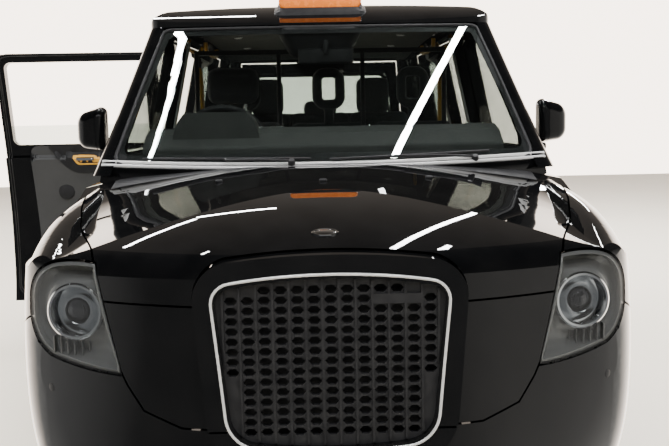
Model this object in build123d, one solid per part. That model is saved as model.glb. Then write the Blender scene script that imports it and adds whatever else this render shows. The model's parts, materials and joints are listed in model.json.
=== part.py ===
from build123d import *
import math
import os

# Taxi cab. The car faces -Y, +X is its left side, +Z is up, in millimetres.
# Its origin is on the ground, on the centre line, half way along the body.
# A place along the car is given as s, the distance behind the foremost point.

# Driving sizes of the whole car
LENGTH = 4857.0
BODY_WIDTH = 1874.0
WHEELBASE = 2985.0
FRONT_OVERHANG = 880.0
TRACK = 1630.0
TYRE_DIAMETER = 711.0
TYRE_WIDTH = 215.0
RIM_DIAMETER = 455.0
GROUND_CLEARANCE = 190.0

# Body heights
WIDEST_Z = 560.0
WAIST_Z = 1150.0
CANT_Z = 1712.0
ROOF_TOP_Z = 1830.0

# Walls and gaps
DOOR_WALL = 80.0
PILLAR_WALL = 50.0
ROOF_WALL = 40.0
PANEL_GAP = 6.0
GLASS = 5.0
GLASS_FIT = 0.3
SEAT_GAP = 0.3
GLASS_INSET = 8.0
REAR_DOOR_SWING = 90.0
LOWERED_GLASS_TOP_Z = 1296.0
SKIN = 28.0
ARCH_RADIUS = 392.0
FRONT_ARCH_INNER_X = 440.0
REAR_ARCH_INNER_X = 650.0

# Places along the car
NOSE_RADIUS = 1325.0
SCUTTLE_S = 1002.0
FRONT_DOOR_S = 1312.0
DOOR_SPLIT_S = 2268.0
REAR_DOOR_S = 3200.0
TAILGATE_HINGE_S = 4457.0
DOOR_BOTTOM_Z = 250.0
FLOOR_TOP_Z = 400.0
FLOOR_THICKNESS = 40.0
FLOOR_STEP_S = 3420.0
LOAD_FLOOR_Z = 540.0
BULKHEAD_S = 1285.0
POST_FRONT_S = 1277.0
LINER = 3.0
PARTITION_S = 2306.0
TIP_SEATS_X = (-390.0, 38.0, 466.0)
BINNACLE_RADIUS = 175.0
LINER_INSET = 14.0
FLOOR_HALF = 812.0
PILLAR_DEPTH = 50.0
HINGE_HEIGHTS = (530.0, 650.0)
HINGE_LENGTH = 90.0
CRADLE_TOP_Z = 260.0
BUMPER_BEAM_TOP_Z = 472.0
HINGE_PIN_RADIUS = 2.7

HALF_WIDTH = BODY_WIDTH / 2
WHEEL_Z = TYRE_DIAMETER / 2
WHEEL_X = TRACK / 2
FRONT_AXLE_S = FRONT_OVERHANG
REAR_AXLE_S = FRONT_OVERHANG + WHEELBASE
SIDES = (("left", 1), ("right", -1))


def at(s):
    """The Y of a place s behind the foremost point."""
    return s - LENGTH / 2


# Horizontal sections of the body under the waist:
# z, half width, front s, front bow, front corner radius, rear s, rear bow, rear corner radius
BODY_LEVELS = (
    (GROUND_CLEARANCE, HALF_WIDTH - 52, 60, 380, 260, LENGTH - 67, 50, 240),
    (370, HALF_WIDTH - 12, 12, 386, 280, LENGTH - 10, 50, 250),
    (WIDEST_Z, HALF_WIDTH, 0, 388, 300, LENGTH, 50, 260),
    (850, HALF_WIDTH - 16, 6, 372, 290, LENGTH - 20, 50, 260),
    (1000, HALF_WIDTH - 37, 16, 352, 280, LENGTH - 50, 50, 250),
    (WAIST_Z + 20, HALF_WIDTH - 71, 40, 330, 260, LENGTH - 100, 50, 240),
)

# Horizontal sections of the glasshouse, in the same columns
GLASSHOUSE_LEVELS = (
    (WAIST_Z - 40, HALF_WIDTH - 62, SCUTTLE_S - 35, 165, 60, LENGTH - 80, 50, 230),
    (1420, HALF_WIDTH - 131, 1345, 110, 60, LENGTH - 210, 50, 210),
    (CANT_Z, HALF_WIDTH - 193, 1702, 40, 60, LENGTH - 400, 50, 180),
)

# Roof: its long arch, its crown across, and the roll at either end as (s, z)
ROOF_ARCH_RADIUS = 40000.0
ROOF_PEAK_S = 2700.0
ROOF_STATIONS = (1600.0, 2350.0, 3100.0, 3850.0, 4600.0)
ROOF_EDGE = 75.0
ROOF_CROWN = 26.0
ROOF_FRONT_ROLL = ((1703, CANT_Z + 8), (1870, 1794), (2250, ROOF_TOP_Z + 6))
ROOF_REAR_ROLL = ((4050, ROOF_TOP_Z - 4), (4370, 1780), (4462, CANT_Z + 22))


def level(z, half, front, front_bow, front_radius, rear, rear_bow, rear_radius, inset):
    """One horizontal section, drawn inset from the outer skin."""
    h = half - inset
    f = at(front + inset)
    r = at(rear - inset)
    with BuildSketch(Plane.XY.offset(z)) as section:
        with BuildLine():
            ThreePointArc((-h, f + front_bow), (0, f), (h, f + front_bow))
            Line((h, f + front_bow), (h, r - rear_bow))
            ThreePointArc((h, r - rear_bow), (0, r), (-h, r - rear_bow))
            Line((-h, r - rear_bow), (-h, f + front_bow))
        make_face()
        fillet(section.vertices().sort_by(Axis.Y)[:2], max(front_radius - inset, 20))
        fillet(section.vertices().sort_by(Axis.Y)[-2:], max(rear_radius - inset, 20))
    return section.sketch


def body_form(inset=0):
    return loft([level(*row, inset) for row in BODY_LEVELS])


def glasshouse_form(inset=0):
    return loft([level(*row, inset) for row in GLASSHOUSE_LEVELS])


def roof_form(inset=0):
    """The roof above the cant rails: an arched section, rolled down at both ends."""
    half = GLASSHOUSE_LEVELS[-1][1] - inset
    top = ROOF_TOP_Z - inset
    brow = half - ROOF_EDGE
    brow_z = top - ROOF_CROWN
    sections = []
    for station in ROOF_STATIONS:
        drop = (station - ROOF_PEAK_S) ** 2 / (2 * ROOF_ARCH_RADIUS)
        bend = ((half - ROOF_EDGE * 0.27), brow_z - drop - (brow_z - CANT_Z) * 0.3)
        with BuildSketch(Plane.XZ.offset(-at(station))) as section:
            with BuildLine():
                Polyline((-half, CANT_Z - drop), (-half, CANT_Z - 150), (half, CANT_Z - 150), (half, CANT_Z - drop))
                ThreePointArc((half, CANT_Z - drop), bend, (brow, brow_z - drop))
                ThreePointArc((brow, brow_z - drop), (0, top - drop), (-brow, brow_z - drop))
                ThreePointArc((-brow, brow_z - drop), (-bend[0], bend[1]), (-half, CANT_Z - drop))
            make_face()
        sections.append(section.sketch)
    arch = loft(sections, ruled=True)
    shift = inset * 1.6
    front = [(at(s + shift), z - inset) for s, z in ROOF_FRONT_ROLL]
    rear = [(at(s - shift), z - inset) for s, z in ROOF_REAR_ROLL]
    with BuildSketch(Plane.YZ) as profile:
        with BuildLine():
            Line((front[0][0], 1500), front[0])
            ThreePointArc(*front)
            Polyline(front[-1], (front[-1][0], 2000), (rear[0][0], 2000), rear[0])
            ThreePointArc(*rear)
            Polyline(rear[-1], (rear[-1][0], 1500), (front[0][0], 1500))
        make_face()
    rolled = arch & extrude(profile.sketch, 1000, both=True)
    bottom = CANT_Z - inset
    return rolled & extrude(level(*GLASSHOUSE_LEVELS[-1], inset), 300, both=True) & block(
        -1100, 1100, 1500, 4700, bottom, 2000
    )


def plan_prism(points, z_from, z_to, radius=0):
    """An upright prism from an outline of (x, s) points."""
    with BuildSketch(Plane.XY.offset(z_from)) as outline:
        with BuildLine():
            Polyline(*[(x, at(s)) for x, s in points], close=True)
        make_face()
        if radius:
            fillet(outline.vertices(), radius)
    return extrude(outline.sketch, z_to - z_from)


def block(x_from, x_to, s_from, s_to, z_from, z_to):
    """A box between two limits each way."""
    size = (x_to - x_from, s_to - s_from, z_to - z_from)
    centre = ((x_from + x_to) / 2, at((s_from + s_to) / 2), (z_from + z_to) / 2)
    return Pos(*centre) * Box(*size)


def mirrored(shape):
    return mirror(shape, Plane.YZ)


# Top surfaces of the front end. Bonnet crown: s, height on the centre line, height at the edge
CROWN_HALF = 960.0
BONNET_CROWN = (
    (-60, 1000, 790),
    (200, 1042, 850),
    (600, 1102, 892),
    (1100, 1155, 1052),
    (1340, 1180, 1120),
)

# Wing crest: s, x of the crest, height of the crest, radius across it
WING_CREST = (
    (-60, 790, 880, 72),
    (300, 800, 930, 72),
    (600, 832, 1000, 72),
    (900, 830, 1046, 74),
    (1340, 806, 1150, 70),
)


def nose_roll(inset=0):
    """The bonnet's long profile, turned about the upright axis of the nose arc."""
    r = NOSE_RADIUS - inset
    with BuildSketch(Plane.XZ) as profile:
        with BuildLine():
            Line((0, 100), (r, 100))
            Line((r, 100), (r, 850 - inset))
            ThreePointArc((r, 850 - inset), (r - 14, 912 - inset), (r - 62, 958 - inset))
            ThreePointArc((r - 62, 958 - inset), (r - 340, 1050 - inset), (r - 1010, 1138 - inset))
            Line((r - 1010, 1138 - inset), (0, 1190 - inset))
            Line((0, 1190 - inset), (0, 100))
        make_face()
    return Pos(0, at(NOSE_RADIUS), 0) * revolve(profile.sketch, Axis.Z)


def bonnet_crown(inset=0):
    sections = []
    for s, centre_z, edge_z in BONNET_CROWN:
        with BuildSketch(Plane.XZ.offset(-at(s))) as section:
            with BuildLine():
                left = (CROWN_HALF, edge_z - inset)
                right = (-CROWN_HALF, edge_z - inset)
                ThreePointArc(right, (0, centre_z - inset), left)
                Polyline(left, (CROWN_HALF, 100), (-CROWN_HALF, 100), right)
            make_face()
        sections.append(section.sketch)
    return loft(sections)


def wing_crest(inset=0):
    sections = []
    for s, x, crest_z, radius in WING_CREST:
        r = radius - inset
        spring_z = crest_z - radius
        with BuildSketch(Plane.XZ.offset(-at(s))) as section:
            with BuildLine():
                ThreePointArc((x - r, spring_z), (x, spring_z + r), (x + r, spring_z))
                Polyline((x + r, spring_z), (1010 - inset, 600), (1010 - inset, 100), (x - r, 100), (x - r, spring_z))
            make_face()
        sections.append(section.sketch)
    return loft(sections)


def front_form(inset=0):
    """The front end, from the nose back to the front doors."""
    crest = wing_crest(inset)
    top = nose_roll(inset) & (bonnet_crown(inset) + crest + mirrored(crest))
    return body_form(inset) & top & block(-1000, 1000, -100, FRONT_DOOR_S, 0, 1300)


# Outlines seen from the front, as (x, z), left half
LAMP_CORNERS = ((639, 927), (567, 631), (795, 656), (868, 791), (775, 921))
LAMP_BULGES = ((604, 778), (690, 638), (849, 704), (846, 873), (700, 930))
BUMPER_TOP = (
    (0, 505), (400, 500), (505, 538), (551, 605), (568, 640),
    (629, 634), (755, 646), (840, 686), (872, 762),
)
FASCIA_TOP_Z = 828.0
FASCIA_HALF = 640.0
LAMP_GAP = 4.0
LENS = 5.0
LAMP_BACK_S = 360.0
LAMP_RING_X = 712.0
LAMP_RING_S = 232.0
LAMP_RING_Z = 786.0
LAMP_RING_DIAMETER = 146.0
LAMP_BULB_DIAMETER = 72.0

# Grille
GRILLE_TOP_Z = 918.0
GRILLE_BOTTOM_Z = 440.0
GRILLE_TOP_HALF = 316.0
GRILLE_LOW_HALF = 276.0
GRILLE_BAR = 14.0
GRILLE_FRONT_S = 10.0
GRILLE_BACK_S = 80.0
FRAME_BACK_S = 34.0
MESH_FRONT_S = FRAME_BACK_S + SEAT_GAP
MESH_DEPTH = 16.0
CELL_PITCH_X = 43.0
CELL_PITCH_Z = 27.0
CELL_WIDTH = 34.0
CELL_HEIGHT = 21.0
CELL_EDGE = 5.0
CELL_SHAPE = ((-1, 0), (-0.5, 1), (0.5, 1), (1, 0), (0.5, -1), (-0.5, -1))
BAR_PROUD = 7.0
BLANK_BAR = (108.0, 239.0, 845.0)
BLANK_BAR_HALF = 13.0
SURROUND_WIDTH = 46.0
SURROUND_SET_BACK = 8.0

# Doors and windows seen from the side, as (s, z)
FRONT_DOOR = (
    (FRONT_DOOR_S, DOOR_BOTTOM_Z), (FRONT_DOOR_S, 1150), (1470, 1320),
    (1690, 1545), (1838, CANT_Z - 20), (DOOR_SPLIT_S, CANT_Z - 8), (DOOR_SPLIT_S, DOOR_BOTTOM_Z),
)
REAR_DOOR = (
    (DOOR_SPLIT_S, DOOR_BOTTOM_Z), (DOOR_SPLIT_S, CANT_Z - 8),
    (REAR_DOOR_S, CANT_Z - 8), (REAR_DOOR_S, DOOR_BOTTOM_Z),
)
FRONT_WINDOW = ((1408, 1185), (1560, 1345), (1745, 1530), (1880, 1650), (2205, 1655), (2205, 1185))
REAR_WINDOW = ((2331, 1185), (2331, 1655), (3130, 1655), (3130, 1185))
QUARTER_WINDOW = ((3290, 1200), (3290, 1650), (4020, 1640), (4200, 1200))
WINDOW_CORNER = 35.0
SCREEN_WINDOW = ((-812, 1150), (-664, CANT_Z + 60), (664, CANT_Z + 60), (812, 1150))
TAILGATE = ((-600, 480), (-640, 1150), (-560, CANT_Z + 20), (560, CANT_Z + 20), (640, 1150), (600, 480))
TAILGATE_WINDOW = ((-570, 1200), (-500, 1640), (500, 1640), (570, 1200))
BONNET_EDGE = ((622, 60), (626, 150), (648, 205), (705, 380), (780, 600), (818, 760), (850, 940), (862, 1040))
BONNET_REAR_S = 985.0


def grille_prism(grow, s_from, s_to):
    """The grille's outline, wider at the top, grown outwards by a distance."""
    top = GRILLE_TOP_Z + grow
    bottom = GRILLE_BOTTOM_Z - grow
    wide = GRILLE_TOP_HALF + grow
    low = GRILLE_LOW_HALF + grow
    with BuildSketch(Plane.XZ.offset(-at(s_from))) as outline:
        with BuildLine():
            ThreePointArc((-wide, top - 30), (0, top), (wide, top - 30))
            Line((wide, top - 30), (low, bottom + 22))
            ThreePointArc((low, bottom + 22), (0, bottom), (-low, bottom + 22))
            Line((-low, bottom + 22), (-wide, top - 30))
        make_face()
        fillet(outline.vertices().sort_by(Axis.Y)[:2], 95 + grow)
        fillet(outline.vertices().sort_by(Axis.Y)[-2:], 55 + grow)
    return extrude(outline.sketch, -(s_to - s_from))


def bonnet_prism(grow):
    edge = [(x + grow, at(s)) for x, s in BONNET_EDGE]
    edge[-1] = (edge[-1][0], edge[-1][1] + grow)
    right = [(-x, y) for x, y in edge]
    with BuildSketch(Plane.XY.offset(FASCIA_TOP_Z - grow)) as plan:
        with BuildLine():
            Polyline((edge[0][0], at(-60)), *edge)
            rear = at(BONNET_REAR_S + grow)
            ThreePointArc(edge[-1], (0, rear), right[-1])
            Polyline(*reversed(right), (right[0][0], at(-60)))
            Line((right[0][0], at(-60)), (edge[0][0], at(-60)))
        make_face()
    return extrude(plan.sketch, 500)


def grown(points, distance):
    """An outline whose sides are all moved outwards by a distance."""
    count = len(points)
    area = sum(
        points[i][0] * points[(i + 1) % count][1] - points[(i + 1) % count][0] * points[i][1]
        for i in range(count)
    )
    turn = 1 if area > 0 else -1
    moved = []
    for i in range(count):
        before, here, after = points[i - 1], points[i], points[(i + 1) % count]
        first = Vector(here[0] - before[0], here[1] - before[1]).normalized()
        second = Vector(after[0] - here[0], after[1] - here[1]).normalized()
        first_out = Vector(first.Y, -first.X) * turn
        second_out = Vector(second.Y, -second.X) * turn
        step = (first_out + second_out) * (distance / (1 + first_out.dot(second_out)))
        moved.append((here[0] + step.X, here[1] + step.Y))
    return moved


def outline_face(points, radius=0):
    outline = make_face(Polyline(*points, close=True))
    if radius:
        outline = fillet(outline.vertices(), radius)
    return outline


def side_cut(points, x_from, x_to, grow=0, radius=0):
    """A prism across the car from an outline of (s, z) points, grown by a distance."""
    outline = outline_face(grown([(at(s), z) for s, z in points], grow), radius)
    return extrude(Plane.YZ.offset(x_from) * outline, x_to - x_from)


def front_cut(points, s_from, s_to, grow=0, radius=0):
    """A prism along the car from an outline of (x, z) points, grown by a distance."""
    outline = outline_face(grown(points, grow), radius)
    return extrude(Plane.XZ.offset(-at(s_from)) * outline, -(s_to - s_from))


def lamp_prism(grow, s_from, s_to):
    """The left headlamp's outline, a row of arcs, grown by a distance and drawn along the car."""
    with BuildSketch() as outline:
        with BuildLine():
            for n, bulge in enumerate(LAMP_BULGES):
                ThreePointArc(LAMP_CORNERS[n], bulge, LAMP_CORNERS[(n + 1) % len(LAMP_CORNERS)])
        make_face()
        if grow:
            offset(amount=grow)
    return extrude(Plane.XZ.offset(-at(s_from)) * outline.sketch, -(s_to - s_from))


def both_sides(shape):
    return shape + mirrored(shape)


def rod(start, end, diameter):
    """A round bar between two points, given as (x, s, z)."""
    a = Vector(start[0], at(start[1]), start[2])
    b = Vector(end[0], at(end[1]), end[2])
    return Plane(origin=a, z_dir=b - a) * extrude(Circle(diameter / 2), (b - a).length)


def soft_block(x_from, x_to, s_from, s_to, z_from, z_to, radius):
    """A box with rounded edges."""
    box = block(x_from, x_to, s_from, s_to, z_from, z_to)
    return fillet(box.edges(), radius)


half_gap = PANEL_GAP / 2
nodes = {}

# Wheel arches
wheel_arches = []
for side, sign in SIDES:
    front_place = Pos(sign * (FRONT_ARCH_INNER_X + 400), at(FRONT_AXLE_S), WHEEL_Z)
    wheel_arches.append(front_place * Cylinder(ARCH_RADIUS, 800, rotation=(0, 90, 0)))
    rear_place = Pos(sign * (REAR_ARCH_INNER_X + 300), at(REAR_AXLE_S), WHEEL_Z)
    wheel_arches.append(rear_place * Cylinder(ARCH_RADIUS, 600, rotation=(0, 90, 0)))

# Front end: its skin is split into bonnet, wings, nose panel and bumper
front_outer = front_form()
front_skin = front_outer - front_form(SKIN)
for arch in wheel_arches:
    front_skin -= arch
grille_hole = grille_prism(1, -60, 200)
surround = grille_prism(SURROUND_WIDTH, GRILLE_FRONT_S + SURROUND_SET_BACK, GRILLE_BACK_S)
surround &= block(-500, 500, -60, GRILLE_BACK_S, 300, 1000)
front_skin = front_skin + surround - grille_hole
lamp_holes = lamp_prism(LAMP_GAP, -60, 460)
lamp_holes += mirrored(lamp_holes)
front_skin -= lamp_holes

bonnet_zone = bonnet_prism(-half_gap) - grille_prism(SURROUND_WIDTH + PANEL_GAP, -60, 200)
bonnet_space = bonnet_prism(half_gap) - grille_prism(SURROUND_WIDTH, -60, 200)
nodes["bonnet"] = front_skin & bonnet_zone
under_bonnet = front_skin - bonnet_space
bumper_right = [(-x, z) for x, z in reversed(BUMPER_TOP)]
bumper_outline = list(BUMPER_TOP) + [(1100, 790), (1100, 0), (-1100, 0), (-1100, 790)] + bumper_right[:-1]
bumper_side = ((-100, 0), (-100, 900), (250, 900), (330, 757), (600, 640), (600, 0))
bumper_zone = front_cut(bumper_outline, -100, 700, grow=-half_gap)
bumper_zone &= side_cut(bumper_side, -1100, 1100, grow=-half_gap)
bumper_space = front_cut(bumper_outline, -100, 700, grow=half_gap)
bumper_space &= side_cut(bumper_side, -1100, 1100, grow=half_gap)
nodes["front_bumper"] = under_bonnet & bumper_zone
above_bumper = under_bonnet - bumper_space
fascia_zone = block(-FASCIA_HALF, FASCIA_HALF, -100, 330, 300, FASCIA_TOP_Z + 10)
fascia_zone += block(-420, 420, -100, 330, 800, 1010)
fascia_side = FASCIA_HALF + PANEL_GAP
fascia_space = block(-fascia_side, fascia_side, -100, 330, 300, FASCIA_TOP_Z + 10 + PANEL_GAP)
fascia_space += block(-426, 426, -100, 330, 800, 1016)
nodes["nose_panels"] = above_bumper & fascia_zone
wing_skins = above_bumper - fascia_space
scuttle_zone = block(-780, 780, 900, FRONT_DOOR_S, 900, 1300)
nodes["scuttle"] = wing_skins & scuttle_zone
wing_skins -= scuttle_zone
for side, sign in SIDES:
    half = block(min(0, sign * 1100), max(0, sign * 1100), -100, FRONT_DOOR_S - half_gap, 0, 1400)
    nodes[f"front_wing_{side}"] = (wing_skins & half).solids().sort_by(SortBy.VOLUME)[-1]

# Grille: a bright frame and a mesh of bars behind it
frame_zone = grille_prism(0, GRILLE_FRONT_S, FRAME_BACK_S) - grille_prism(-GRILLE_BAR, -60, 200)
nodes["grille_frame"] = frame_zone
mesh_plate = grille_prism(0, MESH_FRONT_S, MESH_FRONT_S + MESH_DEPTH)
cell_limit = grille_prism(-GRILLE_BAR - CELL_EDGE, MESH_FRONT_S - BAR_PROUD, MESH_FRONT_S + MESH_DEPTH)
mesh_y = at(MESH_FRONT_S)
cells = []
upright_bars = []
for column in range(-8, 9):
    x = column * CELL_PITCH_X
    for row in range(20):
        z = GRILLE_BOTTOM_Z + row * CELL_PITCH_Z
        corners = [(x + u * CELL_WIDTH / 2, z + w * CELL_HEIGHT / 2) for u, w in CELL_SHAPE]
        behind_bar = BLANK_BAR[0] < x < BLANK_BAR[1] and abs(z - BLANK_BAR[2]) < CELL_PITCH_Z * 0.8
        if not behind_bar and all(cell_limit.is_inside(Vector(u, mesh_y + 1, w)) for u, w in corners):
            cells.append(Wire.make_polygon([(u, mesh_y, w) for u, w in corners]))
    bar_x = x + CELL_PITCH_X / 2
    bar = block(bar_x - 3, bar_x + 3, MESH_FRONT_S - BAR_PROUD, MESH_FRONT_S + 1, 300, 1000) & cell_limit
    upright_bars += bar.solids()
mesh_face = Face(mesh_plate.faces().sort_by(Axis.Y)[0].outer_wire(), cells)
mesh = extrude(mesh_face, MESH_DEPTH, dir=(0, 1, 0)) + upright_bars
blank_from, blank_to, blank_z = BLANK_BAR
mesh += block(
    blank_from, blank_to, MESH_FRONT_S - BAR_PROUD, MESH_FRONT_S + 1,
    blank_z - BLANK_BAR_HALF, blank_z + BLANK_BAR_HALF
)
nodes["grille_mesh"] = mesh

# Headlamps: a housing fills each hole, dished behind a clear lens, with a ringed projector in its dish
lens_form = front_outer - front_form(LENS)
nodes["headlamp_lenses"] = both_sides(lens_form & lamp_prism(0, -60, 360))
housing = front_form(LENS + SEAT_GAP) & lamp_prism(LAMP_GAP - SEAT_GAP, -60, LAMP_BACK_S)
dish = lamp_prism(-14, -60, LAMP_BACK_S - 18)
lamp_seat = Pos(LAMP_RING_X, at(LAMP_RING_S), LAMP_RING_Z) * Rot(90, 0, 0)
ring_depth = LAMP_BACK_S - 10 - LAMP_RING_S
ring = Cylinder(LAMP_RING_DIAMETER / 2, ring_depth, align=(Align.CENTER, Align.CENTER, Align.MAX))
ring -= Cylinder(LAMP_RING_DIAMETER / 2 - 14, ring_depth - 8, align=(Align.CENTER, Align.CENTER, Align.MAX))
ring += Cylinder(LAMP_BULB_DIAMETER / 2, ring_depth, align=(Align.CENTER, Align.CENTER, Align.MAX))
ring += Pos(0, 0, -8) * Sphere(LAMP_BULB_DIAMETER / 2)
lamp = (housing - dish) + (lamp_seat * ring & front_form(LENS + 12))
nodes["headlamps"] = both_sides(lamp)

# Body shell behind the front end
front_space = block(-1100, 1100, -200, FRONT_DOOR_S - PANEL_GAP, 0, 1300)
outer = (body_form() - front_space) + glasshouse_form()
inner = body_form(DOOR_WALL) + glasshouse_form(PILLAR_WALL)
shell = outer - inner - front_outer
post_zone = block(-1100, 1100, POST_FRONT_S, FRONT_DOOR_S - half_gap, 0, 1040)
post_zone += block(-1100, 1100, POST_FRONT_S, FRONT_DOOR_S + 40, 0, DOOR_BOTTOM_Z - PANEL_GAP)
hinge_posts = (body_form(SKIN + SEAT_GAP) - body_form(DOOR_WALL)) & post_zone
shell += hinge_posts
for arch in wheel_arches:
    shell -= arch
shell -= front_cut(SCREEN_WINDOW, 800, 1800, radius=40)
shell &= block(-1100, 1100, 0, 5000, 0, CANT_Z)

front_door_zone = side_cut(FRONT_DOOR, 0, 1100, grow=-half_gap)
rear_door_zone = side_cut(REAR_DOOR, 0, 1100, grow=-half_gap)
doors_space = side_cut(FRONT_DOOR, 0, 1100, grow=half_gap) + side_cut(REAR_DOOR, 0, 1100, grow=half_gap)
front_window = side_cut(FRONT_WINDOW, 0, 1100, radius=WINDOW_CORNER)
rear_window = side_cut(REAR_WINDOW, 0, 1100, radius=WINDOW_CORNER)
quarter_window = side_cut(QUARTER_WINDOW, 0, 1100, radius=WINDOW_CORNER)
tailgate_zone = front_cut(TAILGATE, 4280, 4900, grow=-half_gap)
tailgate_space = front_cut(TAILGATE, 4280, 4900, grow=half_gap)
tailgate_hole = front_cut(TAILGATE_WINDOW, 4200, 4900, radius=WINDOW_CORNER)

# The free edges of the doors lean back towards the inside, so that they clear each other
post_edge = (HALF_WIDTH - 90, HALF_WIDTH)
front_free_edge = plan_prism(
    ((0, 2400), (0, 2256), (post_edge[0], 2256), (post_edge[1], DOOR_SPLIT_S), (post_edge[1], 2400)), 0, 1800)
rear_free_edge = plan_prism(
    ((0, 2100), (0, 2280), (post_edge[0], 2280), (post_edge[1], DOOR_SPLIT_S), (post_edge[1], 2100)), 0, 1800)
front_door = (shell & front_door_zone) - front_free_edge
rear_door = (shell & rear_door_zone) - rear_free_edge
body_rest = shell - tailgate_space
rear_bumper_zone = block(-1100, 1100, REAR_AXLE_S + 330, 5000, 0, 480)
nodes["rear_bumper"] = body_rest & rear_bumper_zone
body_rest -= block(-1100, 1100, REAR_AXLE_S + 330 - PANEL_GAP, 5000, 0, 480 + PANEL_GAP)
body_rest -= both_sides(doors_space)
body_rest -= both_sides(quarter_window)
side_left = body_rest.solids().sort_by(SortBy.VOLUME)[-2:].sort_by(Axis.X)[1]
door_back = body_form(DOOR_WALL + PANEL_GAP) + glasshouse_form(PILLAR_WALL + PANEL_GAP)
pillar_back = body_form(DOOR_WALL + PILLAR_DEPTH) + glasshouse_form(PILLAR_WALL + PILLAR_DEPTH)
rail_and_pillar = block(0, 1100, DOOR_SPLIT_S - 32, DOOR_SPLIT_S + 32, FLOOR_TOP_Z, CANT_Z)
rail_and_pillar += block(0, 1100, 1790, 4300, CANT_Z - 62, CANT_Z)
rail_and_pillar = (door_back & rail_and_pillar) - pillar_back
side_left += rail_and_pillar
side_left += block(680, 716, REAR_DOOR_S + 30, REAR_DOOR_S + 80, CANT_Z - 50, CANT_Z)
side_left += block(680, 712, 1792, 1830, CANT_Z - 20, CANT_Z)
for z in HINGE_HEIGHTS:
    for s in (FRONT_DOOR_S, REAR_DOOR_S):
        side_left += Pos(HALF_WIDTH, at(s), z) * Cylinder(HINGE_PIN_RADIUS, HINGE_LENGTH)
    side_left += block(HALF_WIDTH - 60, HALF_WIDTH, FRONT_DOOR_S - 2.7, FRONT_DOOR_S, z - 30, z + 30)
    side_left += block(HALF_WIDTH - 60, HALF_WIDTH - SKIN - 8, FRONT_DOOR_S - 8, FRONT_DOOR_S, z - 30, z + 30)
    side_left += block(HALF_WIDTH - 45, HALF_WIDTH, REAR_DOOR_S, REAR_DOOR_S + 8, z - 30, z + 30)
nodes["body_side_left"] = side_left
nodes["body_side_right"] = mirrored(side_left)
tailgate = shell & tailgate_zone & block(-1100, 1100, 0, 5000, 0, CANT_Z - PANEL_GAP)
nodes["tailgate"] = (tailgate - tailgate_hole).solids().sort_by(SortBy.VOLUME)[-1]

# Window glass, one pane in each window
pane_form = glasshouse_form(GLASS_INSET) - glasshouse_form(GLASS_INSET + GLASS)
pane_form &= block(-1100, 1100, 0, 5000, 0, CANT_Z - 1)
nodes["windscreen"] = pane_form & front_cut(SCREEN_WINDOW, 800, 1760, grow=-GLASS_FIT, radius=40)
quarter_pane = pane_form & side_cut(QUARTER_WINDOW, 0, 1100, grow=-GLASS_FIT, radius=WINDOW_CORNER)
nodes["quarter_windows"] = both_sides(quarter_pane)
rear_pane_cut = front_cut(TAILGATE_WINDOW, 4300, 4900, grow=-GLASS_FIT, radius=WINDOW_CORNER)
nodes["tailgate_window"] = pane_form & rear_pane_cut
front_pane = pane_form & side_cut(FRONT_WINDOW, 0, 1100, grow=-GLASS_FIT, radius=WINDOW_CORNER)
rear_pane = pane_form & side_cut(REAR_WINDOW, 0, 1100, grow=-GLASS_FIT, radius=WINDOW_CORNER)

# Roof
roof = roof_form() - roof_form(ROOF_WALL)
for x in (-120, 120):
    pin = Cylinder(HINGE_PIN_RADIUS, HINGE_LENGTH, rotation=(0, 90, 0))
    roof += Pos(x, at(TAILGATE_HINGE_S), CANT_Z - half_gap) * pin
    roof += block(x - 40, x + 40, TAILGATE_HINGE_S - 8, TAILGATE_HINGE_S, CANT_Z - half_gap, CANT_Z + 4)
nodes["roof"] = roof


# Doors, each with its own glass; the right rear door stands open as it parks, its glass wound down
for side, sign in SIDES:
    for place, door, window, pane in (
        ("front", front_door, front_window, front_pane),
        ("rear", rear_door, rear_window, rear_pane),
    ):
        leaf = (door - window).solids().sort_by(SortBy.VOLUME)[-1]
        glass = pane
        if sign < 0:
            leaf = mirrored(leaf)
            glass = mirrored(glass)
        if (side, place) == ("right", "rear"):
            hinge = Axis((-HALF_WIDTH, at(REAR_DOOR_S), 0), (0, 0, -1))
            leaf = leaf.rotate(hinge, REAR_DOOR_SWING)
            glass = glass.rotate(hinge, REAR_DOOR_SWING)
            glass &= block(-2000, 0, REAR_DOOR_S - 200, REAR_DOOR_S, 0, LOWERED_GLASS_TOP_Z)
        nodes[f"{place}_door_{side}"] = leaf
        nodes[f"{place}_door_glass_{side}"] = glass

# Door mirrors on the front doors
for side, sign in SIDES:
    head = soft_block(885, 1018, 1440, 1540, 1172, 1385, 28)
    arm = block(856, 900, 1470, 1520, 1184, 1214)
    mirror_head = head + arm
    if sign < 0:
        mirror_head = mirrored(mirror_head)
    nodes[f"door_mirror_{side}"] = mirror_head - nodes[f"front_door_{side}"]

# Wheels: a tyre on each rim, upright knuckles at the front, a beam axle at the rear
TYRE_SECTION = ((0, 0.30), (0, 0.70), (0.06, 0.90), (0.35, 1.0), (0.65, 1.0), (0.94, 0.90), (1, 0.70), (1, 0.30))
SPOKES = 10
SPINDLE_RADIUS = 22.0
BEAD_DEPTH = 24.0


def turned(points):
    """A ring turned about the X axis from (x, radius) points."""
    return revolve(Plane.XY * outline_face(points), Axis.X)


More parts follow.
